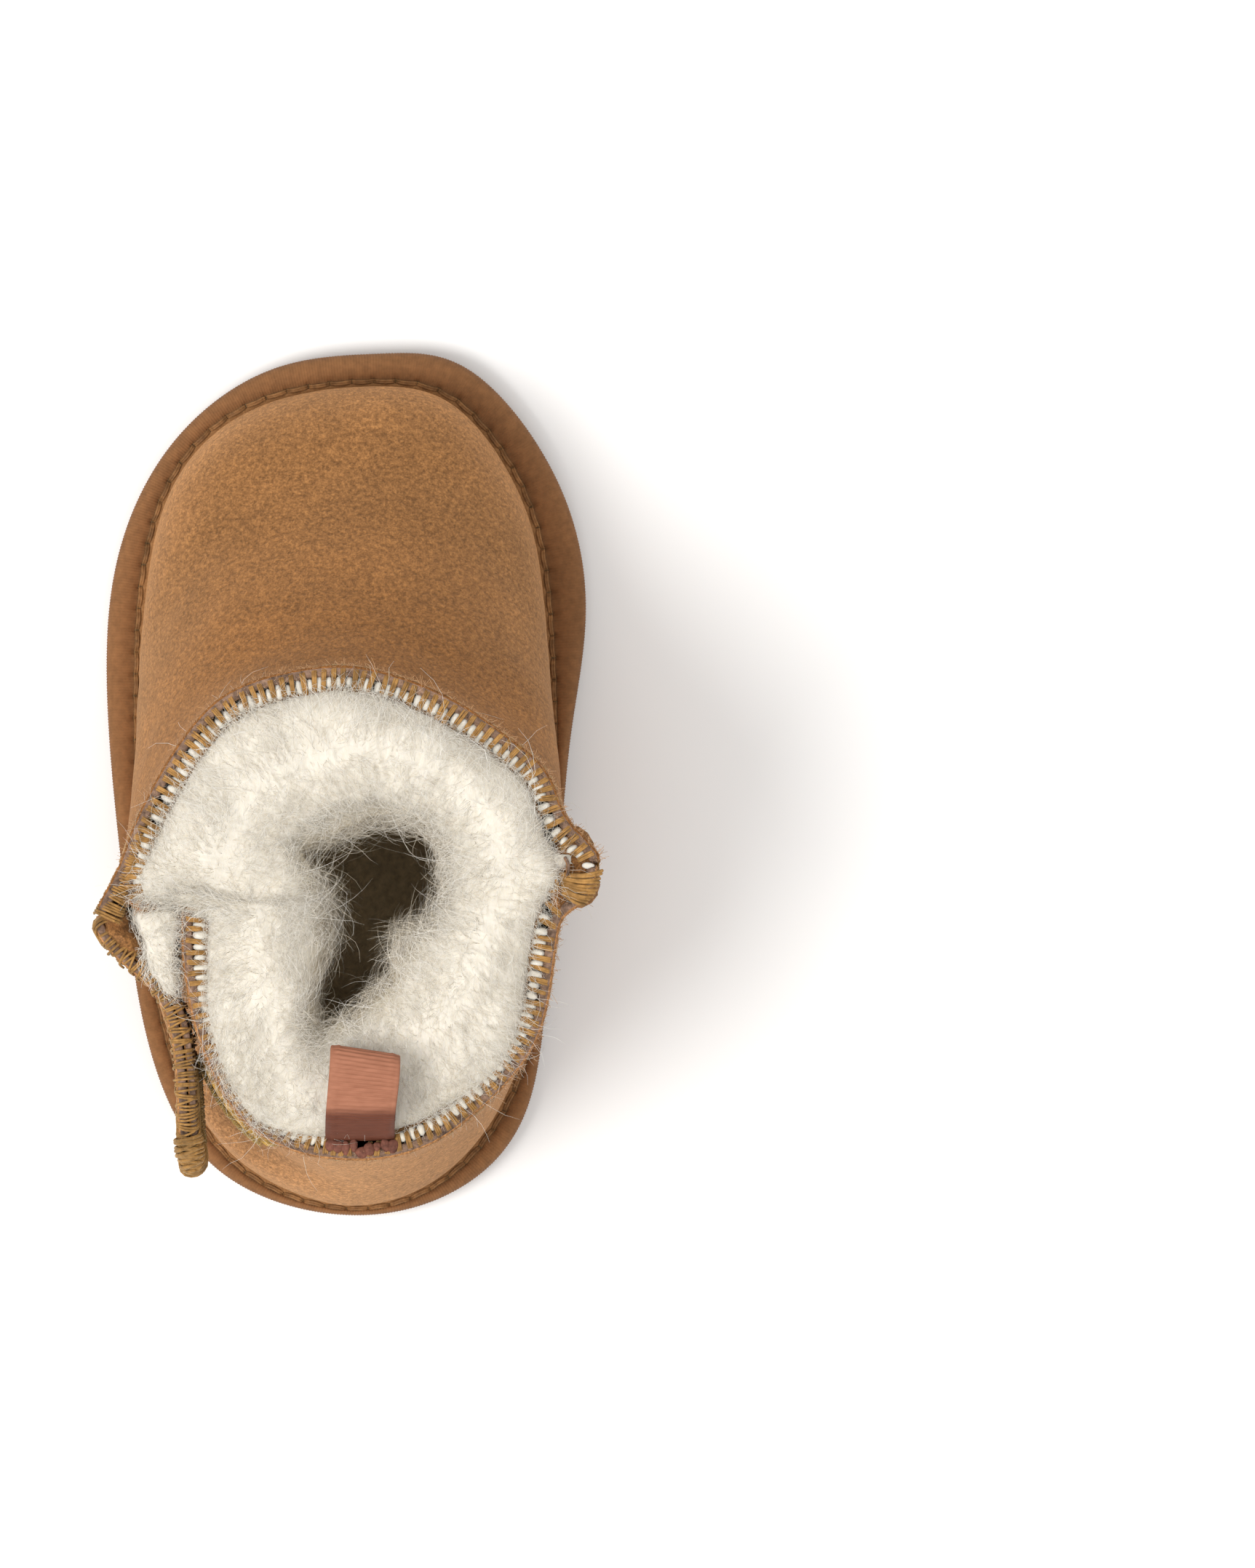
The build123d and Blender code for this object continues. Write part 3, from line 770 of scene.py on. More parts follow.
def lip_and_stitches():
    """Turned-out edge of the upper on the binding, and the lock stitches along it."""
    columns = 900
    profile = [(-1.2, 7.0), (-1.0, 7.5), (-0.3, 7.45), (0.0, 7.5), (0.3, 7.42), (0.5, 7.2),
               (0.56, 6.9), (0.4, 6.6), (-1.2, 6.6)]
    rows = []
    for reach, height in profile:
        plan = resample_closed(lip_line(reach), columns)
        rows.append(np.column_stack([plan, np.full(columns, height)]))
    grid = np.array(rows)
    grid[1:6, :, 2] += noise(grid[1:6], 4, 5) * 0.08
    lip = make_mesh("upper_lip", grid.reshape(-1, 3),
                    [grid_faces(len(grid), columns, True), closing_faces(len(grid), columns)],
                    [lip_suede])
    holes = stitch_holes()
    after = np.roll(holes, -1, 0)
    share = np.linspace(0.02, 0.98, 13)
    paths = []
    for strand in (-0.14, 0.14):
        plan = holes[:, None] + (after - holes)[:, None] * share[None, :, None]
        sideways = outward(holes)[:, None] * (strand + 0.12 * np.sin(share * np.pi)[None, :, None])
        plan = plan - sideways - outward(holes)[:, None] * 0.12
        height = np.broadcast_to(6.45 + 1.1 * np.sin(share * np.pi) ** 0.35, plan.shape[:2])
        paths.append(np.concatenate([plan, height[..., None]], -1))
    stitches = tubes("sole_lock_stitches", np.concatenate(paths), 0.2, 8, [sole_thread])
    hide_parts("binding_stitching")


binding_piece()
lip_and_stitches()


# ---------------------------------------------------------------- fleece

CHAIN_INSET = 3.7


def wool_outline(distance):
    """Outline of both panels at the collar: the front one before the seams, the heel one behind."""
    front_line = inset(upper_line(COLLAR_LEVEL, False), distance)
    back_line = inset(upper_line(COLLAR_LEVEL, True), distance)
    share = smooth_step((seam_side(front_line) + 1.5) / 4)[:, None]
    return between(front_line, back_line, share)


def polar(line, angles):
    """Radius of a plan line about the hole's centre at each angle."""
    offset = line - HOLE_CENTRE
    angle = np.arctan2(offset[:, 1], offset[:, 0])
    order = np.argsort(angle)
    radius = np.linalg.norm(offset, axis=1)[order]
    angle = angle[order]
    angle = np.concatenate([angle - 2 * np.pi, angle, angle + 2 * np.pi])
    return np.interp(angles, angle, np.tile(radius, 3))


FLEECE_PROFILE = [
    # share of the way from the chain stitch to the hole, height above the collar edge
    (0.0, -1.3), (0.015, 0.1), (0.07, 1.2), (0.16, 2.2), (0.28, 2.9), (0.42, 3.1), (0.56, 2.9),
    (0.7, 2.3), (0.82, 1.1), (0.91, -0.9), (0.97, -4.6), (1.0, -10), (1.0, -22), (0.95, -34),
    (0.75, -44), (0.42, -54), (0.14, -62), (0.0, -69), (0.0, -75.5),
]
PROFILE_RUN = 22  # how far a share of 1 reaches, for even steps along the profile
FOOT_PILE = 7.5
PILE_TURN = -20  # height under the collar where the pile starts to follow the foot
DEEP_PILE = 79  # below this height most fibres take the darker warm tint, as painted shade down the opening
TAB_CLEAR, TAB_FRONT = 5.8, 45  # half width and start of the wool with no fibres, at the tab
# Where the pile swells over the collar stitches: place, width in radians and reach.
WOOL_OVERFLOW = [(-32, 12.6, 0.17, 2.7), (15, 48, 0.3, 2.9), (21, 36, 0.2, 1.5),
                 (-24, 43, 0.22, 1.5), (30, 14, 0.12, 1.2)]
# Where the opening between the pile is wider or narrower, in the same form.
HOLE_SWELLS = [(-8, 28, 0.5, 0.8), (2.9, 27, 0.13, 2.0), (-7.6, 27, 0.2, 0.9), (-5, 36, 0.1, -1.2),
               (-6, 4, 0.5, 0.6)]


def fleece_grid(columns, rows):
    angles = np.linspace(-np.pi, np.pi, columns, endpoint=False)
    edge = polar(wool_outline(CHAIN_INSET), angles)
    hole_line = closed_matrix(len(HOLE_RING), 400) @ np.array(HOLE_RING, float)
    hole = polar(hole_line, angles) + 1.7
    for x, y, width, reach in WOOL_OVERFLOW:
        edge = edge + reach * crease(angles, polar_angle(x, y), width)
    for x, y, width, reach in HOLE_SWELLS:
        hole = hole + reach * crease(angles, polar_angle(x, y), width)
    run = (PROFILE_RUN, 1)
    scaled = resample(open_line(FLEECE_PROFILE, 500) * run, rows) / run
    direction = np.column_stack([np.cos(angles), np.sin(angles)])
    rim = collar_height((HOLE_CENTRE + direction * edge[:, None])[:, 1])
    grid = np.zeros((rows, columns, 3))
    for row, (share, height) in enumerate(scaled):
        outer = edge
        if height < PILE_TURN:
            deep = polar(inset(upper_line(MEAN_COLLAR + height, False), FOOT_PILE), angles)
            outer = between(edge, deep, smooth_step((PILE_TURN - height) / 25))
        plan = HOLE_CENTRE + direction * between(outer, hole, share)[:, None]
        grid[row, :, :2] = plan
        level = smooth_step(-height / 70)
        grid[row, :, 2] = between(rim, MEAN_COLLAR + 0.4, level) + height
    return grid, angles, scaled[:, 0]


def polar_angle(x, y):
    """Angle of a place in plan, seen from the hole's centre."""
    return np.arctan2(y - HOLE_CENTRE[1], x - HOLE_CENTRE[0])


def crease(angles, place, width):
    """Bell shape from 0 to 1 over the angles, round one place."""
    away = np.abs((angles - place + np.pi) % (2 * np.pi) - np.pi)
    return np.exp(-(away / width) ** 2)


def fleece_piece():
    columns, rows = ((700, 140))
    grid, angles, share = fleece_grid(columns, rows)
    normals = upward(grid_normals(grid, around=True), rows // 5)
    across = np.sin(np.clip(share, 0, 1) * np.pi)[:, None]
    lateral = crease(angles, 0.02, 0.16)[None]
    medial = crease(angles, np.pi * 0.98, 0.16)[None]
    fold = -(1.6 * lateral + 1.4 * medial) * across
    lobes = 1.5 * noise(grid, 13, 11) + 1.0 * noise(grid, 6.5, 12) + 0.45 * noise(grid, 2.8, 13)
    fine = 0.16 * noise(grid, 1.3, 14) + 0.08 * noise(grid, 0.7, 15)
    # Locks of wool that run from the collar towards the hole.
    down = np.linspace(0, 120, rows)[:, None]
    around = (angles * 21)[None] + 2.2 * noise(grid, 7, 16) + 0.06 * down * noise(grid, 18, 17)
    locks = np.stack([np.broadcast_to(down / 6.5, around.shape), around / 1.5,
                      np.full(around.shape, 3.3)], -1)
    thin = locks * (1.7, 2.6, 1)
    fine = fine + 0.34 * noise(locks, 1, 18) + 0.2 * noise(thin, 1, 19)
    grow = smooth_step(np.linspace(0, 1, rows) * 12)[:, None]
    grid = grid + normals * ((fold + lobes * 0.75 + fine) * grow)[..., None]
    piece = make_mesh("fleece_lining", grid.reshape(-1, 3), [grid_faces(rows, columns, True)],
                      [wool])
    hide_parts("front_lining", "back_lining")
    return grid


fleece = fleece_piece()
fleece_normals = upward(grid_normals(fleece, around=True), len(fleece) // 5)


def wool_fibres(name, grid, normals, count, seed, lift, length, radius, body="root", first=0.005,
                last=0.62, near=None):
    """Curly fibres rooted in a grid of wool, lying along it in a slowly turning direction.

    first and last bound the rows they root in; near is a place in plan and its two widths.
    """
    rng = np.random.default_rng(SEED + seed)
    rows = len(grid)
    across = np.linalg.norm(np.roll(grid, -1, 1) - grid, axis=2)
    down = np.linalg.norm(np.diff(grid, axis=0, append=grid[-1:]), axis=2)
    weight = across * down
    weight[int(rows * last):] = 0
    weight[:int(rows * first)] = 0
    weight[(abs(grid[..., 0] - TAB_X) < TAB_CLEAR) & (grid[..., 1] > TAB_FRONT)] = 0
    if near is not None:
        apart = (grid[..., :2] - near[:2]) / near[2:]
        weight *= np.exp(-(apart ** 2).sum(2))
    weight = (weight / weight.sum()).ravel()
    chosen = rng.choice(len(weight), count, p=weight)
    root = grid.reshape(-1, 3)[chosen] + rng.normal(0, 0.1, (count, 3))
    normal = normals.reshape(-1, 3)[chosen]
    swirl = np.stack([noise(root, 9, 21), noise(root, 9, 22), noise(root, 9, 23)], 1)
    away = root - (*HOLE_CENTRE, root[:, 2].mean())
    away[:, 2] = 0
    away = unit(away)
    outer_part = np.where(chosen // grid.shape[1] < rows * 0.12, 1.1, -0.55)[:, None]
    swirl = 1.1 * swirl + away * outer_part + 0.5 * rng.normal(0, 1, (count, 3))
    lying = swirl - (swirl * normal).sum(1)[:, None] * normal
    lying = unit(lying)
    steps = 6
    along = np.linspace(0, 1, steps)
    size = rng.uniform(0.6, 1.3, count)[:, None] * length
    bend = np.cross(normal, lying)
    lean = along[None] * rng.normal(0, 0.9, count)[:, None]
    heading = lying[:, None] * np.cos(lean)[..., None] + bend[:, None] * np.sin(lean)[..., None]
    path = np.cumsum(heading * (size / steps)[..., None], axis=1)
    path = root[:, None] + path - path[:, :1]
    pace = rng.uniform(4, 13, count)[:, None]
    curl = rng.uniform(0.12, 0.4, count)[:, None] * np.sin(
        along[None] * pace + rng.uniform(0, 6.3, count)[:, None])
    hump = lift * rng.uniform(0.2, 1.2, count)[:, None] * np.sin(along * 2.5)[None]
    path += bend[:, None] * curl[..., None] + normal[:, None] * (hump - 0.25)[..., None]
    taper = np.linspace(1, 0.35, steps)[None] * radius * rng.uniform(0.8, 1.2, count)[:, None]
    tint = rng.choice(3, count, p=(0.45, 0.4, 0.15))
    # Most fibres rooted down in the opening take the darker warm tint: painted shade.
    tint[(root[:, 2] < DEEP_PILE) & (rng.random(count) < 0.75)] = 2
    fibres = tubes(name, path, taper, 3, FIBRE_TINTS, body=body, pick=tint)
    return fibres


for batch in range(4):
    wool_fibres(f"wool_fibres_{batch + 1}", fleece, fleece_normals, 6000, 30 + batch,
                (0.8, 1.6)[batch % 2], (5.0, 7.0)[batch % 2], (0.036, 0.03)[batch % 2])
wool_fibres("wool_wisps", fleece, fleece_normals, 600, 60, 2.6, 11.0, 0.034)
wool_fibres("wool_edge_fibres", fleece, fleece_normals, 800, 63, 1.0, 3.6, 0.03, last=0.03)
wool_fibres("wool_fold_fibres", fleece, fleece_normals, 650, 64, 1.1, 5.0, 0.034,
            near=(20, 18.5, 10, 1.5))


# ---------------------------------------------------------------- collar stitching

LEG_PITCH = 1.6
LEG_POINTS = 14
CHAIN_DEPTH = 3.6


def line_frames(line, pitch):
    """Even stations along an open line that runs anticlockwise, with outward and forward."""
    even = resample(line, max(int(round(step_lengths(line).sum() / pitch)) + 1, 3))
    ahead = np.gradient(even, axis=0)
    ahead = unit(ahead)
    return even, np.column_stack([ahead[:, 1], -ahead[:, 0]]), ahead


def front_collar_line():
    """Outer collar edge of the front panel: rounded corner, front edge, then the inner ear."""
    line = panel_line(COLLAR_LEVEL, 0, False, True)
    # The panel's line runs from the inner seam round the toe side to the lateral seam.
    body = line[(line[:, 0] < 0) | (line[:, 1] < CORNER_START_Y)]
    return np.vstack([body, open_line(CORNER_LINE, 60)[1:]])


def back_collar_line():
    return panel_line(COLLAR_LEVEL, 0, True, False)


def whip_legs(places, out, ahead, tops, rng, strands=3, depth=CHAIN_DEPTH):
    """Thread legs over an edge: (inward, height above the edge) points with a slight slant."""
    scale = depth / CHAIN_DEPTH
    profile = open_line([(0.06, -2.6), (0.02, -1.4), (0.14, -0.4), (0.55, 0.22),
                         (1.1 * scale, 0.42), (2.2 * scale, 0.38), (3.2 * scale, 0.05),
                         (3.7 * scale, -0.9)], LEG_POINTS)
    paths = []
    count = len(places)
    slant = rng.normal(0.18, 0.2, (count, 1)) * np.linspace(-1, 1, LEG_POINTS)[None]
    lean = rng.normal(0, 0.1, (count, 1))
    reach = 1 + rng.normal(0, 0.05, (count, 1))
    for strand in np.linspace(-0.25, 0.25, strands):
        wobble = rng.normal(0, 0.04, (count, 2))
        pinch = 1.15 - 0.3 * np.linspace(0, 1, LEG_POINTS)[None]
        side = strand * pinch + slant + lean + wobble[:, :1]
        height = profile[None, :, 1] + wobble[:, 1:] - 0.25 * strand ** 2
        inward = profile[None, :, 0] * reach
        plan = places[:, None] - out[:, None] * inward[..., None] + ahead[:, None] * side[..., None]
        paths.append(np.concatenate([plan, (tops[:, None] + height)[..., None]], -1))
    return np.concatenate(paths)


def collar_stitches(name, node, line, seed):
    rng = np.random.default_rng(SEED + seed)
    places, out, ahead = line_frames(line, LEG_PITCH)
    places = places + ahead * rng.normal(0, 0.1, (len(places), 1))
    beside_tab = (places[:, 1] > 40) & (abs(places[:, 0] - TAB_X) < TAB_WIDTH / 2 - 0.2)
    inner_ear = (places[:, 0] < -31) & (abs(seam_side(places) - 2.5) < 4.2)
    keep = ~(beside_tab | inner_ear)
    places, out, ahead = places[keep], out[keep], ahead[keep]
    legs = whip_legs(places, out, ahead, collar_height(places[:, 1]), rng)
    stitches = tubes(name, legs, 0.17, 7, [thread])
    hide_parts(node)
    return places, out, ahead


def chain_thread(name, line):
    """Seam thread that closes the inner ends of the whip stitches."""
    places, out, ahead = line_frames(line, 0.16)
    phase = np.arange(len(places)) * 0.7
    plan = places - out * CHAIN_DEPTH
    for _ in range(40):
        plan[1:-1] = (plan[:-2] + plan[1:-1] + plan[2:]) / 3
    paths = []
    for shift in (0, np.pi):
        wave = out * (0.14 * np.sin(phase + shift))[:, None]
        height = collar_height(plan[:, 1]) - 0.25 + 0.12 * np.cos(phase + shift)
        paths.append(np.column_stack([plan + wave, height]))
    piece = tubes(name, np.array(paths), 0.15, 6, [thread_dark])


def blobs(name, centres, axes, sizes, materials, seed, body="root"):
    """Small uneven rounded lumps: centres, three axis vectors each and half sizes."""
    lines, rings = 9, 14
    tilt = np.linspace(0, np.pi, lines)
    around = np.arange(rings) * 2 * np.pi / rings
    ball = np.stack([np.sin(tilt)[:, None] * np.cos(around),
                     np.sin(tilt)[:, None] * np.sin(around),
                     np.cos(tilt)[:, None] * np.ones(rings)], -1).reshape(1, -1, 3)
    local = ball * sizes[:, None]
    points = centres[:, None] + np.einsum("bpk,bkc->bpc", local, axes)
    points = points + (points - centres[:, None]) * 0.22 * noise(points, 0.8, seed)[..., None]
    base = grid_faces(lines, rings, True)
    faces = base[None] + (np.arange(len(centres)) * lines * rings)[:, None, None]
    piece = make_mesh(name, points.reshape(-1, 3), [faces.reshape(-1, 4)], materials, None, body)
    return piece


def edge_tufts(name, legs, seed):
    """Small puffs of clipped wool between the whip stitches."""
    places, out, ahead = legs
    rng = np.random.default_rng(SEED + seed)
    step = np.linalg.norm(np.diff(places, axis=0, append=places[-1:] + 9), axis=1)
    keep = step < LEG_PITCH * 1.8
    spots = (places + ahead * LEG_PITCH / 2)[keep]
    out, ahead = out[keep], ahead[keep]
    spots = spots - out * 2.55
    centres = np.column_stack([spots, collar_height(spots[:, 1]) - 0.3])
    up = np.zeros_like(centres)
    up[:, 2] = 1
    flat = np.zeros((len(out), 1))
    axes = np.stack([np.hstack([out, flat]), np.hstack([ahead, flat]), up], 1)
    sizes = rng.uniform(0.75, 1.15, (len(centres), 3)) * (1.05, 0.66, 0.7)
    blobs(name, centres, axes, sizes, [wool], seed)


front_line = front_collar_line()
back_line = back_collar_line()
front_legs = collar_stitches("front_collar_whip_stitches", "front_collar_stitching", front_line, 71)
back_legs = collar_stitches("back_collar_whip_stitches", "back_collar_stitching", back_line, 72)
chain_thread("front_collar_chain", front_line[front_line[:, 0] > -32.2])
chain_thread("back_collar_chain", back_line[(seam_side(back_line) > 7.5) | (back_line[:, 0] > 0)])
edge_tufts("front_edge_tufts", front_legs, 91)
edge_tufts("back_edge_tufts", back_legs, 92)


def edge_fuzz(name, line, count, seed, body="root"):
    """Short loose nap fibres along a raw suede edge."""
    rng = np.random.default_rng(SEED + seed)
    places, out, ahead = line_frames(line, 0.2)
    chosen = rng.integers(0, len(places), count)
    depth = rng.choice([0.15, 0.3, 1.2], count) + rng.normal(0, 0.12, count)
    root = np.column_stack([places[chosen] - out[chosen] * depth[:, None],
                            collar_height(places[chosen, 1]) - 0.15])
    heading = np.column_stack([out[chosen] * rng.normal(0.35, 0.6, (count, 1))
                               + ahead[chosen] * rng.normal(0, 0.8, (count, 1)),
                               rng.uniform(0.1, 0.9, count)])
    heading = unit(heading)
    along = np.linspace(0, 1, 5)[None, :, None] * rng.uniform(0.35, 1.15, (count, 1, 1))
    bend = rng.normal(0, 0.35, (count, 1, 3)) * along ** 2
    tint = rng.choice(2, count, p=(0.65, 0.35))
    fuzz = tubes(name, root[:, None] + heading[:, None] * along + bend, 0.03, 3, FUZZ_TINTS,
                 body=body, pick=tint)


edge_fuzz("front_edge_nap", front_line, 2600, 81)
edge_fuzz("back_edge_nap", back_line, 2000, 82)


EAR_TURNS, EAR_POINTS = 11, 16
COIL_TURNS = 3


def ear_wraps():
    """Close turns of thread over the back half of the inner ear, and a coil at its root."""
    rng = np.random.default_rng(SEED + 74)
    top = collar_height(14)
    tips = open_line([(-37.7, 12.6), (-37.2, 14.4), (-36.4, 16.2), (-35.0, 17.6)],
                     EAR_TURNS)
    paths = []
    for index, tip in enumerate(tips):
        share = index / (EAR_TURNS - 1)
        root = between(np.array([-31.2, 12.9]), np.array([-31.6, 15.6]), share)
        bow = between(root, tip, 0.55) + (0, 0.35 + rng.normal(0, 0.12))
        plan = open_line([root, bow, tip], EAR_POINTS)
        plan[-3:] = tip
        rise = np.interp(np.linspace(0, 1, EAR_POINTS), (0, 0.15, 0.6, 0.84, 0.93, 1),
                         (-0.5, 0.5, 0.62, 0.35, -0.8, -3.2))
        path = np.column_stack([plan, top + rise]) + rng.normal(0, 0.05, 3)
        paths.append(path)
    turns = np.linspace(0, COIL_TURNS * 2 * np.pi, COIL_TURNS * 16)
    swell = 0.75 + 0.05 * turns / 3
    coil = np.column_stack([-30.3 + swell * np.cos(turns), 14.8 + swell * np.sin(turns),
                            top + 0.25 + 0.05 * turns / 3])
    wraps = tubes("ear_thread_wraps", np.array(paths), 0.25, 7, [thread])
    knot = tubes("ear_thread_coil", coil[None], 0.22, 7, [thread])
    wool_lumps = np.array([[-35.6, 11.9, top + 0.3], [-31.4, 11.2, top + 0.25],
                           [-29.6, 12.4, top - 0.2]])
    wool_sizes = np.array([[1.0, 0.5, 0.35], [2.4, 1.0, 0.7], [1.8, 2.2, 0.9]])
    suede_lumps = np.array([[-34.0, 14.8, top - 1.9], [-33.6, 10.6, top - 1.9],
                            [-31.4, 16.6, top - 1.9]])
    suede_sizes = np.array([[3.4, 3.2, 2.4], [3.2, 4.4, 2.3], [1.6, 3.6, 2.3]])
    axes = np.broadcast_to(np.eye(3), (3, 3, 3))
    blobs("ear_wool", wool_lumps, axes, wool_sizes, [wool], 75)
    blobs("ear_suede_filling", suede_lumps, axes, suede_sizes, [fold_suede], 76)


ear_wraps()


def seam_base(height, side):
    """Where the upper's plan line meets a side seam, at a height."""
    line = upper_line(height, False)
    near = np.abs(seam_side(line)) + np.where(line[:, 0] * side > 0, 0, 1000)
    return line[np.argmin(near)]


BAR_PITCH = 1.9


def seam_whip_stitches(name, node, side):
    """Thread bars over the ridge of a side seam, from the sole to the collar."""
    rng = np.random.default_rng(SEED + 77 + side)
    heights = np.arange(10.5, 78, BAR_PITCH)
    paths = []
    apart = np.linspace(-2.4, 2.4, 15)
    for height in heights:
        base = seam_base(height, side)
        rise = rise_at(height)
        front_table = LATERAL_FRONT_EAR if side > 0 else MEDIAL_FRONT_EAR
        back_table = LATERAL_BACK_EAR if side > 0 else MEDIAL_BACK_EAR
        out = np.where(apart < 0, ear(apart, front_table, rise), ear(apart, back_table, rise))
        if side > 0 and height > SLIT_BOTTOM - 4:
            out = np.where(apart < -SEAM_GAP + 0.6, out, out[8] - 1.2 * (apart + SEAM_GAP) ** 2)
        plan = base + np.outer(apart, SEAM_NORMAL) + np.outer(out + 0.12, SEAM_RUN * side)
        slant = np.linspace(-0.5, 0.5, len(apart)) + rng.normal(0, 0.12)
        for strand in (-0.2, 0.2):
            paths.append(np.column_stack([plan, height + slant + strand]))
    stitches = tubes(name, np.array(paths), 0.19, 6, [thread])
    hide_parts(node)


seam_whip_stitches("medial_seam_whips", "medial_seam_stitching", -1)
seam_whip_stitches("lateral_seam_whips", "lateral_seam_stitching", 1)


# ---------------------------------------------------------------- pull tab

RIBBON_PATH = [
    (51.7, 81.6), (50.9, 85.4), (49.9, 88.9), (48.7, 91.9), (47.3, 93.5), (45.6, 94.0), (42.9, 94.0),
    (40.3, 93.7), (39.0, 92.8), (38.7, 91.4), (39.9, 90.0), (43.1, 88.4), (46.3, 86.6), (48.4, 84.2),
    (49.4, 81.6),
]
RIBBON_RIB = 0.62


def pull_tab_piece():
    rows, columns = 460, 30
    path = open_line(RIBBON_PATH, rows)
    length = step_lengths(path).sum()
    along = np.linspace(0, length, rows)
    across = np.linspace(-0.5, 0.5, columns)
    forward = smooth_step((51 - path[:, 0]) / 12)
    grid = np.zeros((rows, columns, 3))
    grid[..., 0] = TAB_X + 0.2 - across[None] * TAB_WIDTH - forward[:, None] * 0.8
    grid[..., 1] = path[:, :1] + (across[None] * 1.5 + 0.5) * forward[:, None]
    grid[..., 2] = path[:, 1:] - 0.35 * (across[None] * 2) ** 4 * forward[:, None]
    normals = grid_normals(grid)
    ribs = 0.06 * np.cos(along * 2 * np.pi / RIBBON_RIB)
    edge = (0.5 - abs(across)) * TAB_WIDTH
    middle = smooth_step(edge / 0.9)
    selvedge = 0.1 * np.exp(-((edge - 0.95) / 0.22) ** 2)
    grid += normals * (0.12 * noise(grid, 3.2, 41))[..., None]
    relief = ribs[:, None] * middle[None] + selvedge[None]
    piece = sheet_mesh("pull_tab_ribbon", grid, 0.72, [ribbon], body=None, relief=relief)
    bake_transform(piece)
    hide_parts("pull_tab")


def tab_tack():
    """Thread legs that hold the ribbon's two ends to the collar, and the ends themselves."""
    rng = np.random.default_rng(SEED + 44)
    spots = np.array([1.6, 0.6, -0.6, -3.6, -4.6, -6.4, -7.3])
    edge = back_line[(back_line[:, 1] > 45)]
    places = np.column_stack([spots, np.interp(spots, edge[::-1, 0], edge[::-1, 1])])
    out = np.tile((0.0, 1.0), (len(spots), 1))
    ahead = np.tile((-1.0, 0.0), (len(spots), 1))
    legs = whip_legs(places, out, ahead, collar_height(places[:, 1]), rng, depth=2.6)
    stitches = tubes("tab_tack_stitches", legs, 0.18, 7, [thread])
    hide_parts("pull_tab_stitching")
    # The ribbon's frayed ends under the loop; their darker colour is painted shade.
    centres = np.array([[x, 53.0 + 0.3 * rng.normal(), 82.4] for x in np.linspace(2.0, -7.2, 9)])
    axes = np.broadcast_to(np.eye(3), (9, 3, 3))
    sizes = rng.uniform(0.8, 1.2, (9, 3)) * (0.75, 0.9, 0.5)
    blobs("ribbon_end_fray", centres, axes, sizes, [shaded_ribbon_fray], 45)


pull_tab_piece()
tab_tack()


# ---------------------------------------------------------------- closure flap


def hang_on_flap(piece):
    """Bakes the piece's transform into its mesh; the flap does not turn on a pin."""
    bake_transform(piece)


def flap_grid(depth, rows=64, columns=120, shrink=0.0):
    """Middle surface of one layer of the flap, that far inside the outside face."""
    line = open_line(FLAP_LINE, 400)
    ahead = np.gradient(line, axis=0)
    ahead = unit(ahead)
    inward = np.column_stack([-ahead[:, 1], ahead[:, 0]])
    line = resample(line + inward * depth, columns)
    length = np.concatenate([[0], np.cumsum(step_lengths(line))])
    past = np.clip(length - (length[-1] - FLAP_CORNER), 0, FLAP_CORNER * 0.985)
    cut = FLAP_CORNER - np.sqrt(FLAP_CORNER ** 2 - past ** 2)
    low = FLAP_BOTTOM + cut + shrink
    high = FLAP_TOP - cut - shrink
    share = np.linspace(0, 1, rows)[:, None]
    grid = np.zeros((rows, columns, 3))
    grid[..., :2] = line[None]
    grid[..., 2] = between(low, high, share)
    return soften(grid, 0.25)


FLAP_STITCHES = 88


def flap_edge():
    """Free edge of the flap: points, outward in its surface, face normal and forward."""
    grid = flap_grid(1.3)
    edge = np.concatenate([grid[-1], grid[-2:0:-1, -1], grid[0, ::-1], grid[1:, 0]])
    edge = resample(edge, FLAP_STITCHES + 1)[:-1]
    ahead = np.roll(edge, -1, 0) - np.roll(edge, 1, 0)
    ahead = unit(ahead)
    closest = np.argmin(((edge[:, None, :2] - grid[0][None, :, :2]) ** 2).sum(2), axis=1)
    run = np.gradient(grid[0, :, :2], axis=0)
    run = unit(run)
    face = np.column_stack([run[closest, 1], -run[closest, 0], np.zeros(len(edge))])
    out = np.cross(ahead, face)
    out = unit(out)
    out *= np.sign(((edge - grid.reshape(-1, 3).mean(0)) * out).sum(1))[:, None]
    return edge, out, face, ahead


def flap_pieces():
    outer = sheet_mesh("flap_suede", flap_grid(0.8), 1.5, [suede, raw_edge], body=None)
    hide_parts("closure_flap")
    facing = sheet_mesh("flap_facing_suede", flap_grid(2.3, shrink=0.4), 1.1,
                        [facing_suede, raw_edge], body=None)
    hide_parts("flap_facing")
    edge, out, face, ahead = flap_edge()
    rng = np.random.default_rng(SEED + 95)
    profile = open_line([(1.25, -2.8), (1.3, -1.2), (1.2, 0.0), (0.5, 0.6), (-0.6, 0.65),
                         (-1.45, 0.0), (-1.65, -1.2), (-1.6, -2.8)], LEG_POINTS)
    tip = smooth_step((edge[:, 1] - 50) / 5)
    paths = []
    count = FLAP_STITCHES
    lean = rng.normal(0.3, 0.45, (count, 1))
    for strand in (-0.2, 0.2, 0.8):
        turned = lean if strand < 0.5 else -1.4 * lean - 0.35
        shift = strand + turned * np.linspace(-1, 1, LEG_POINTS)[None]
        shift = shift + rng.normal(0, 0.08, (count, 1))
        swell = 1 + 0.2 * tip + rng.normal(0, 0.05, count) + 0.08 * (strand > 0.5)
        over = profile[None] * swell[:, None, None]
        over = over + rng.normal(0, 0.07, (count, 1, 1))
        paths.append(edge[:, None] + face[:, None] * over[..., :1] + out[:, None] * over[..., 1:]
                     + ahead[:, None] * shift[..., None])
    stitches = tubes("flap_whip_stitches", np.concatenate(paths), 0.18, 7, [thread], body=None)
    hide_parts("flap_stitching")
    for piece in (outer, facing, stitches):
        hang_on_flap(piece)


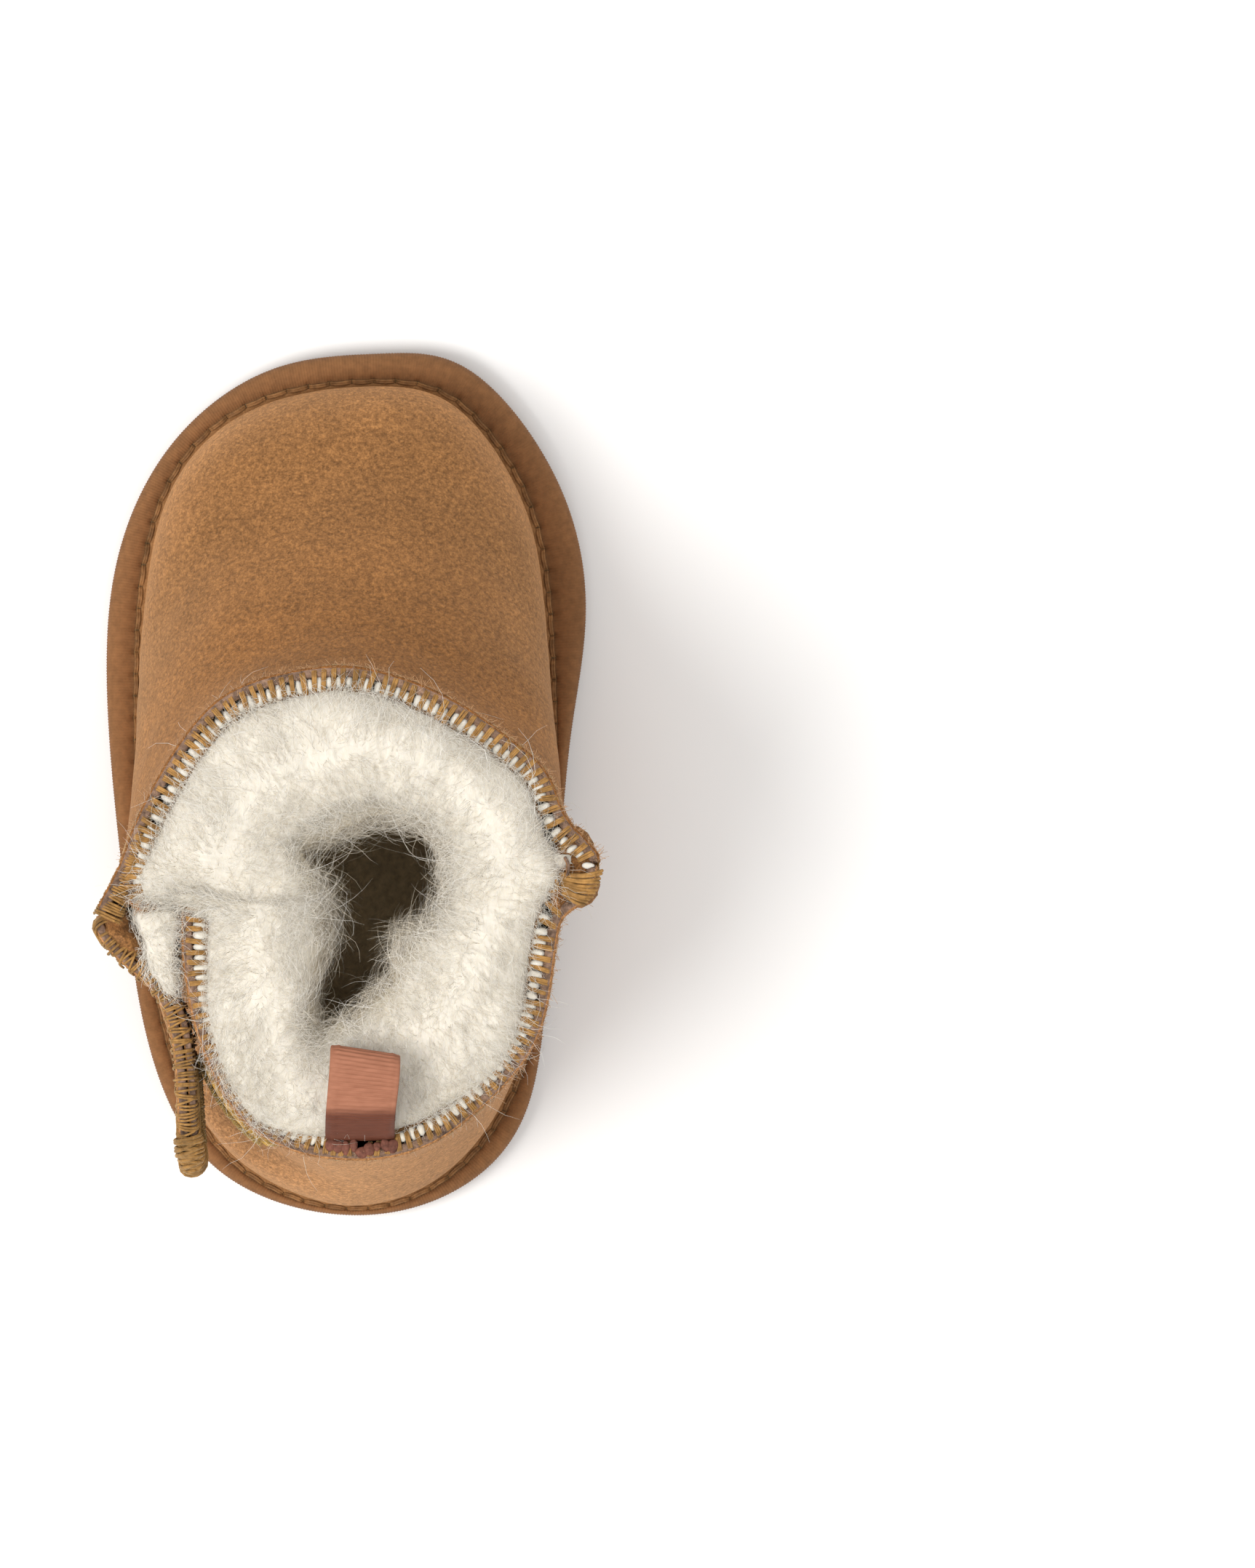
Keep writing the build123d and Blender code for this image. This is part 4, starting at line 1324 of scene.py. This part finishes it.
def tip_wraps():
    """Thick turns of thread round the upper tip of the flap."""
    rng = np.random.default_rng(SEED + 97)
    line = open_line(FLAP_LINE, 400)
    turns = np.linspace(0, 2 * np.pi, 26)
    paths = []
    for place in np.linspace(0, 1, 13):
        at = int(between(350, 399, place))
        centre = line[at] + np.array([-1.35, 0.0])
        centre = centre - (0, 0.2)
        past = between(7.4, 12.4, place)
        height = FLAP_TOP - 1.3 - FLAP_CORNER + np.sqrt(FLAP_CORNER ** 2 - past ** 2)
        radius = 1.95 * np.sqrt(1 - 0.6 * place ** 3) + rng.normal(0, 0.06)
        tilt = rng.normal(0.25, 0.18)
        ring = np.column_stack([centre[0] + radius * np.cos(turns),
                                centre[1] + radius * np.cos(turns) * tilt + rng.normal(0, 0.1)
                                + 0.25 * np.sin(turns),
                                height + 2.4 * np.sin(turns)])
        paths.append(ring)
    wraps = tubes("flap_tip_wraps", np.array(paths), 0.27, 7, [thread], body="flap")


def root_lump():
    """Folded suede inside the flap's root."""
    along = np.array([-0.647, 0.762])
    across = np.array([0.762, 0.647])
    axes = np.array([[[*along, 0], [*across, 0], [0, 0, 1]]] * 2)
    centres = np.array([[32.3, 22.3, 75.6], [33.6, 19.6, 76.2]])
    sizes = np.array([[5.2, 2.5, 8.0], [2.6, 2.4, 8.0]])
    blobs("flap_root_fold", centres, axes, sizes, [fold_suede], 98)


RIDGE_POINTS = 13


def ridge_wraps():
    """Turns of thread over the front panel's ridge, which grows towards the closure seam."""
    rng = np.random.default_rng(SEED + 99)
    line = panel_line(COLLAR_LEVEL, 0, False, True)
    line = line[(line[:, 0] > 0) & (line[:, 1] > 4)]
    places, out, ahead = line_frames(line, 0.78)
    steps = len(places)
    reach = np.interp(np.linspace(0, 1, steps), (0, 0.4, 0.8, 1), (0.95, 1.1, 1.7, 2.0))
    places = places - out * (reach - 0.12)[:, None]
    profile = open_line([(-1.0, -2.6), (-1.0, -1.2), (-0.72, 0.0), (0, 0.38), (0.72, 0.0),
                         (1.0, -1.2), (0.98, -2.6)], RIDGE_POINTS)
    paths = []
    for index in range(steps):
        lean = rng.normal(0.25, 0.3) * np.linspace(-1, 1, RIDGE_POINTS) + rng.normal(0, 0.12)
        drop = np.interp(index / steps, (0, 0.4, 1), (0.3, 0.05, -0.05)) + rng.normal(0, 0.05)
        for strand in (-0.2, 0.2):
            plan = (places[index] + out[index] * profile[:, :1] * reach[index]
                    + ahead[index] * (strand + lean)[:, None])
            height = collar_height(places[index, 1]) - drop + profile[:, 1]
            paths.append(np.column_stack([plan, height]))
    wraps = tubes("seam_ridge_wraps", np.array(paths), 0.19, 7, [thread])


# Wool of the flap's root, between the front corner and the heel panel's edge.
ROOT_WOOL = [
    (30.6, 19.0), (29.4, 22.5), (29.0, 25.6), (27.4, 28.6), (25.0, 30.6), (24.3, 27.0), (24.2, 22.0),
    (24.4, 18.6), (27.0, 17.4),
]
ROOT_ROWS, ROOT_COLUMNS = 72, 90
ROOT_TOP_ROW = 44


def root_wool():
    ring = closed_matrix(len(ROOT_WOOL), ROOT_COLUMNS) @ np.array(ROOT_WOOL, float)
    centre = ring.mean(0)
    rows = []
    for share, height in [(1.0, -30), (1.0, -21), (1.0, -12), (1.0, -3.2), (0.98, -1.6), (0.9, -0.5),
                          (0.75, 0.25), (0.5, 0.8), (0.25, 1.0), (0.02, 1.05)]:
        plan = centre + (ring - centre) * share
        rows.append(np.column_stack([plan, collar_height(plan[:, 1]) + 0.3 + height]))
    grid = np.array(rows)
    place = np.linspace(0, len(grid) - 1, ROOT_ROWS)
    low = np.minimum(place.astype(int), len(grid) - 2)
    fine = between(grid[low], grid[low + 1], (place - low)[:, None, None])
    normals = upward(grid_normals(fine, around=True), ROOT_TOP_ROW)
    bumps = 0.5 * noise(fine, 2.6, 51) + 0.22 * noise(fine, 1.1, 52)
    fine = fine + normals * bumps[..., None]
    piece = make_mesh("flap_root_wool", fine.reshape(-1, 3),
                      [grid_faces(ROOT_ROWS, ROOT_COLUMNS, True)], [wool], body=None)
    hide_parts("flap_fleece")
    hang_on_flap(piece)
    return fine


def fastener_pile(name, roots, normals, height, material, body, seed):
    """Short curled threads standing on a fastener patch."""
    rng = np.random.default_rng(SEED + seed)
    count = len(roots)
    turn = np.linspace(0, np.pi * 1.25, 6)[None, :, None]
    side = np.cross(normals, rng.normal(0, 1, (count, 3)))
    side = unit(side)
    size = height * rng.uniform(0.75, 1.2, (count, 1, 1))
    paths = (roots[:, None] + normals[:, None] * (size * np.sin(turn * 0.8))
             + side[:, None] * (size * 0.5 * (1 - np.cos(turn))))
    pile = tubes(name, paths, 0.06, 4, [material], body=body)


LOOP_PITCH = 0.62
LOOP_PROUD = 0.8  # how far the loop patch stands out from the heel panel


def fasteners():
    """Loops on the heel panel's patch, and hooks on the patch inside the flap."""
    rng = np.random.default_rng(SEED + 50)
    roots, normals = [], []
    for z in np.arange(53.2, 77.2, LOOP_PITCH):
        line = inset(upper_line(z, True), -LOOP_PROUD)
        side = (line[:, 0] > 0) & (line[:, 1] > 38) & (line[:, 1] < 54)
        y = np.arange(40.4, 52.4, LOOP_PITCH) + rng.uniform(-0.2, 0.2)
        order = np.argsort(line[side, 1])
        known = line[side][order]
        x, out_x, out_y = [np.interp(y, known[:, 1], values)
                           for values in (known[:, 0], *outward(line)[side][order].T)]
        roots.append(np.column_stack([x, y, z + rng.uniform(-0.25, 0.25, len(y))]))
        normals.append(np.column_stack([out_x, out_y, np.zeros(len(y))]))
    fastener_pile("loop_patch_pile", np.concatenate(roots), np.concatenate(normals), 0.55,
                  loop_thread, "root", 51)
    grid = flap_grid(3.35, 60, 220)
    flat = grid.reshape(-1, 3)
    normal = grid_normals(grid).reshape(-1, 3)
    normal *= -np.sign(normal[:, :1])
    inside = (flat[:, 1] > 41.6) & (flat[:, 1] < 52.4) & (flat[:, 2] > 54.6) & (flat[:, 2] < 76.4)
    chosen = rng.permutation(np.flatnonzero(inside))[:620]
    fastener_pile("hook_patch_hooks", flat[chosen], normal[chosen], 0.5, hook_thread,
                  "flap", 52)


def seam_backing(name, side):
    """Narrow strip of suede in the seam, behind the two panels' edges."""
    heights = np.linspace(9.5, 88 if side < 0 else 60, 70)
    rows = []
    for height in heights:
        base = seam_base(height, side)
        apart = np.linspace(-1.3, 1.3, 7)
        deep = -0.35 * (apart / 1.3) ** 2
        plan = base + np.outer(apart, SEAM_NORMAL) + np.outer(deep + 0.2, SEAM_RUN * side)
        rows.append(np.column_stack([plan, np.full(7, height)]))
    strip = sheet_mesh(name, np.array(rows), 0.5, [fold_suede, raw_edge])


flap_pieces()
tip_wraps()
seam_backing("medial_seam_backing", -1)
seam_backing("lateral_seam_backing", 1)
fasteners()
root_lump()
ridge_wraps()
root_fleece = root_wool()
root_normals = upward(grid_normals(root_fleece, True), ROOT_TOP_ROW)
hang_on_flap(wool_fibres("flap_root_fibres", root_fleece, root_normals, 800, 61, 1.3, 4.0, 0.036,
                         body=None, first=0.34, last=1.0))
hang_on_flap(wool_fibres("flap_root_side_fibres", root_fleece, root_normals, 1300, 62, 0.5, 2.6,
                         0.036, body=None, first=0.02, last=0.34))


# ---------------------------------------------------------------- kept CAD pieces

CAD_LOOKS = {
    "outsole": outsole_suede, "midsole": foam, "insole_board": board, "footbed": footbed_pile,
    "loop_patch": loop_tape, "hook_patch": hook_tape, "care_label": label_satin,
    "flap_fleece": wool, "medial_seam_stitching": thread, "lateral_seam_stitching": thread,
    "pull_tab_stitching": thread,
}
for node, material in CAD_LOOKS.items():
    node_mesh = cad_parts[node].data
    node_mesh.materials.clear()
    node_mesh.materials.append(material)


# ---------------------------------------------------------------- floor, light and camera

def floor():
    """Pale floor just under the sole."""
    bpy.ops.mesh.primitive_plane_add(size=6, location=(0, 0, -0.0004))
    plane = bpy.context.object
    plane.name = "studio_floor"
    material = new_material("studio_floor", (0.93, 0.93, 0.93), 0.9)
    plane.data.materials.append(material)


def area_light(name, place, size, power, color=(1, 1, 1)):
    """Round soft light turned to the middle of the bootie."""
    data = bpy.data.lights.new(name, "AREA")
    data.shape = "DISK"
    data.size = size
    data.energy = power
    data.color = color
    light = bpy.data.objects.new(name, data)
    light.location = place
    direction = Vector((0, 0, 0.04)) - Vector(place)
    light.rotation_euler = direction.to_track_quat("-Z", "Y").to_euler()
    bpy.context.scene.collection.objects.link(light)


def studio():
    """Even pale surroundings, a key light from the closure side and a fill from above."""
    world = bpy.data.worlds.new("studio")
    world.use_nodes = True
    background = world.node_tree.nodes["Background"]
    background.inputs["Color"].default_value = (1.0, 0.99, 0.97, 1)
    background.inputs["Strength"].default_value = 0.66
    bpy.context.scene.world = world
    area_light("key", (0.5, 0.2, 1.1), 0.5, 9.5, (1.0, 0.98, 0.95))
    area_light("top_fill", (-0.1, 0.1, 1.3), 0.9, 4.5)
    bpy.context.scene.view_settings.view_transform = "Standard"


IMAGE_HEIGHT, PIXELS_PER_MM = 2156, 9.3
CAMERA_X = -0.04145  # the middle of the picture, which lies between the two booties


def camera():
    """Straight down with a long lens; the bootie stands in the left half, as in a pair."""
    field_height = IMAGE_HEIGHT / PIXELS_PER_MM * MM
    distance = 7
    data = bpy.data.cameras.new("top_view")
    data.sensor_fit = "VERTICAL"
    data.sensor_height = 36
    data.lens = data.sensor_height * distance / field_height
    data.clip_end = 50
    view = bpy.data.objects.new("top_view", data)
    view.location = (CAMERA_X, 0, distance)
    view.rotation_euler = (0, 0, np.pi)
    bpy.context.scene.collection.objects.link(view)
    bpy.context.scene.camera = view


floor()
studio()
camera()
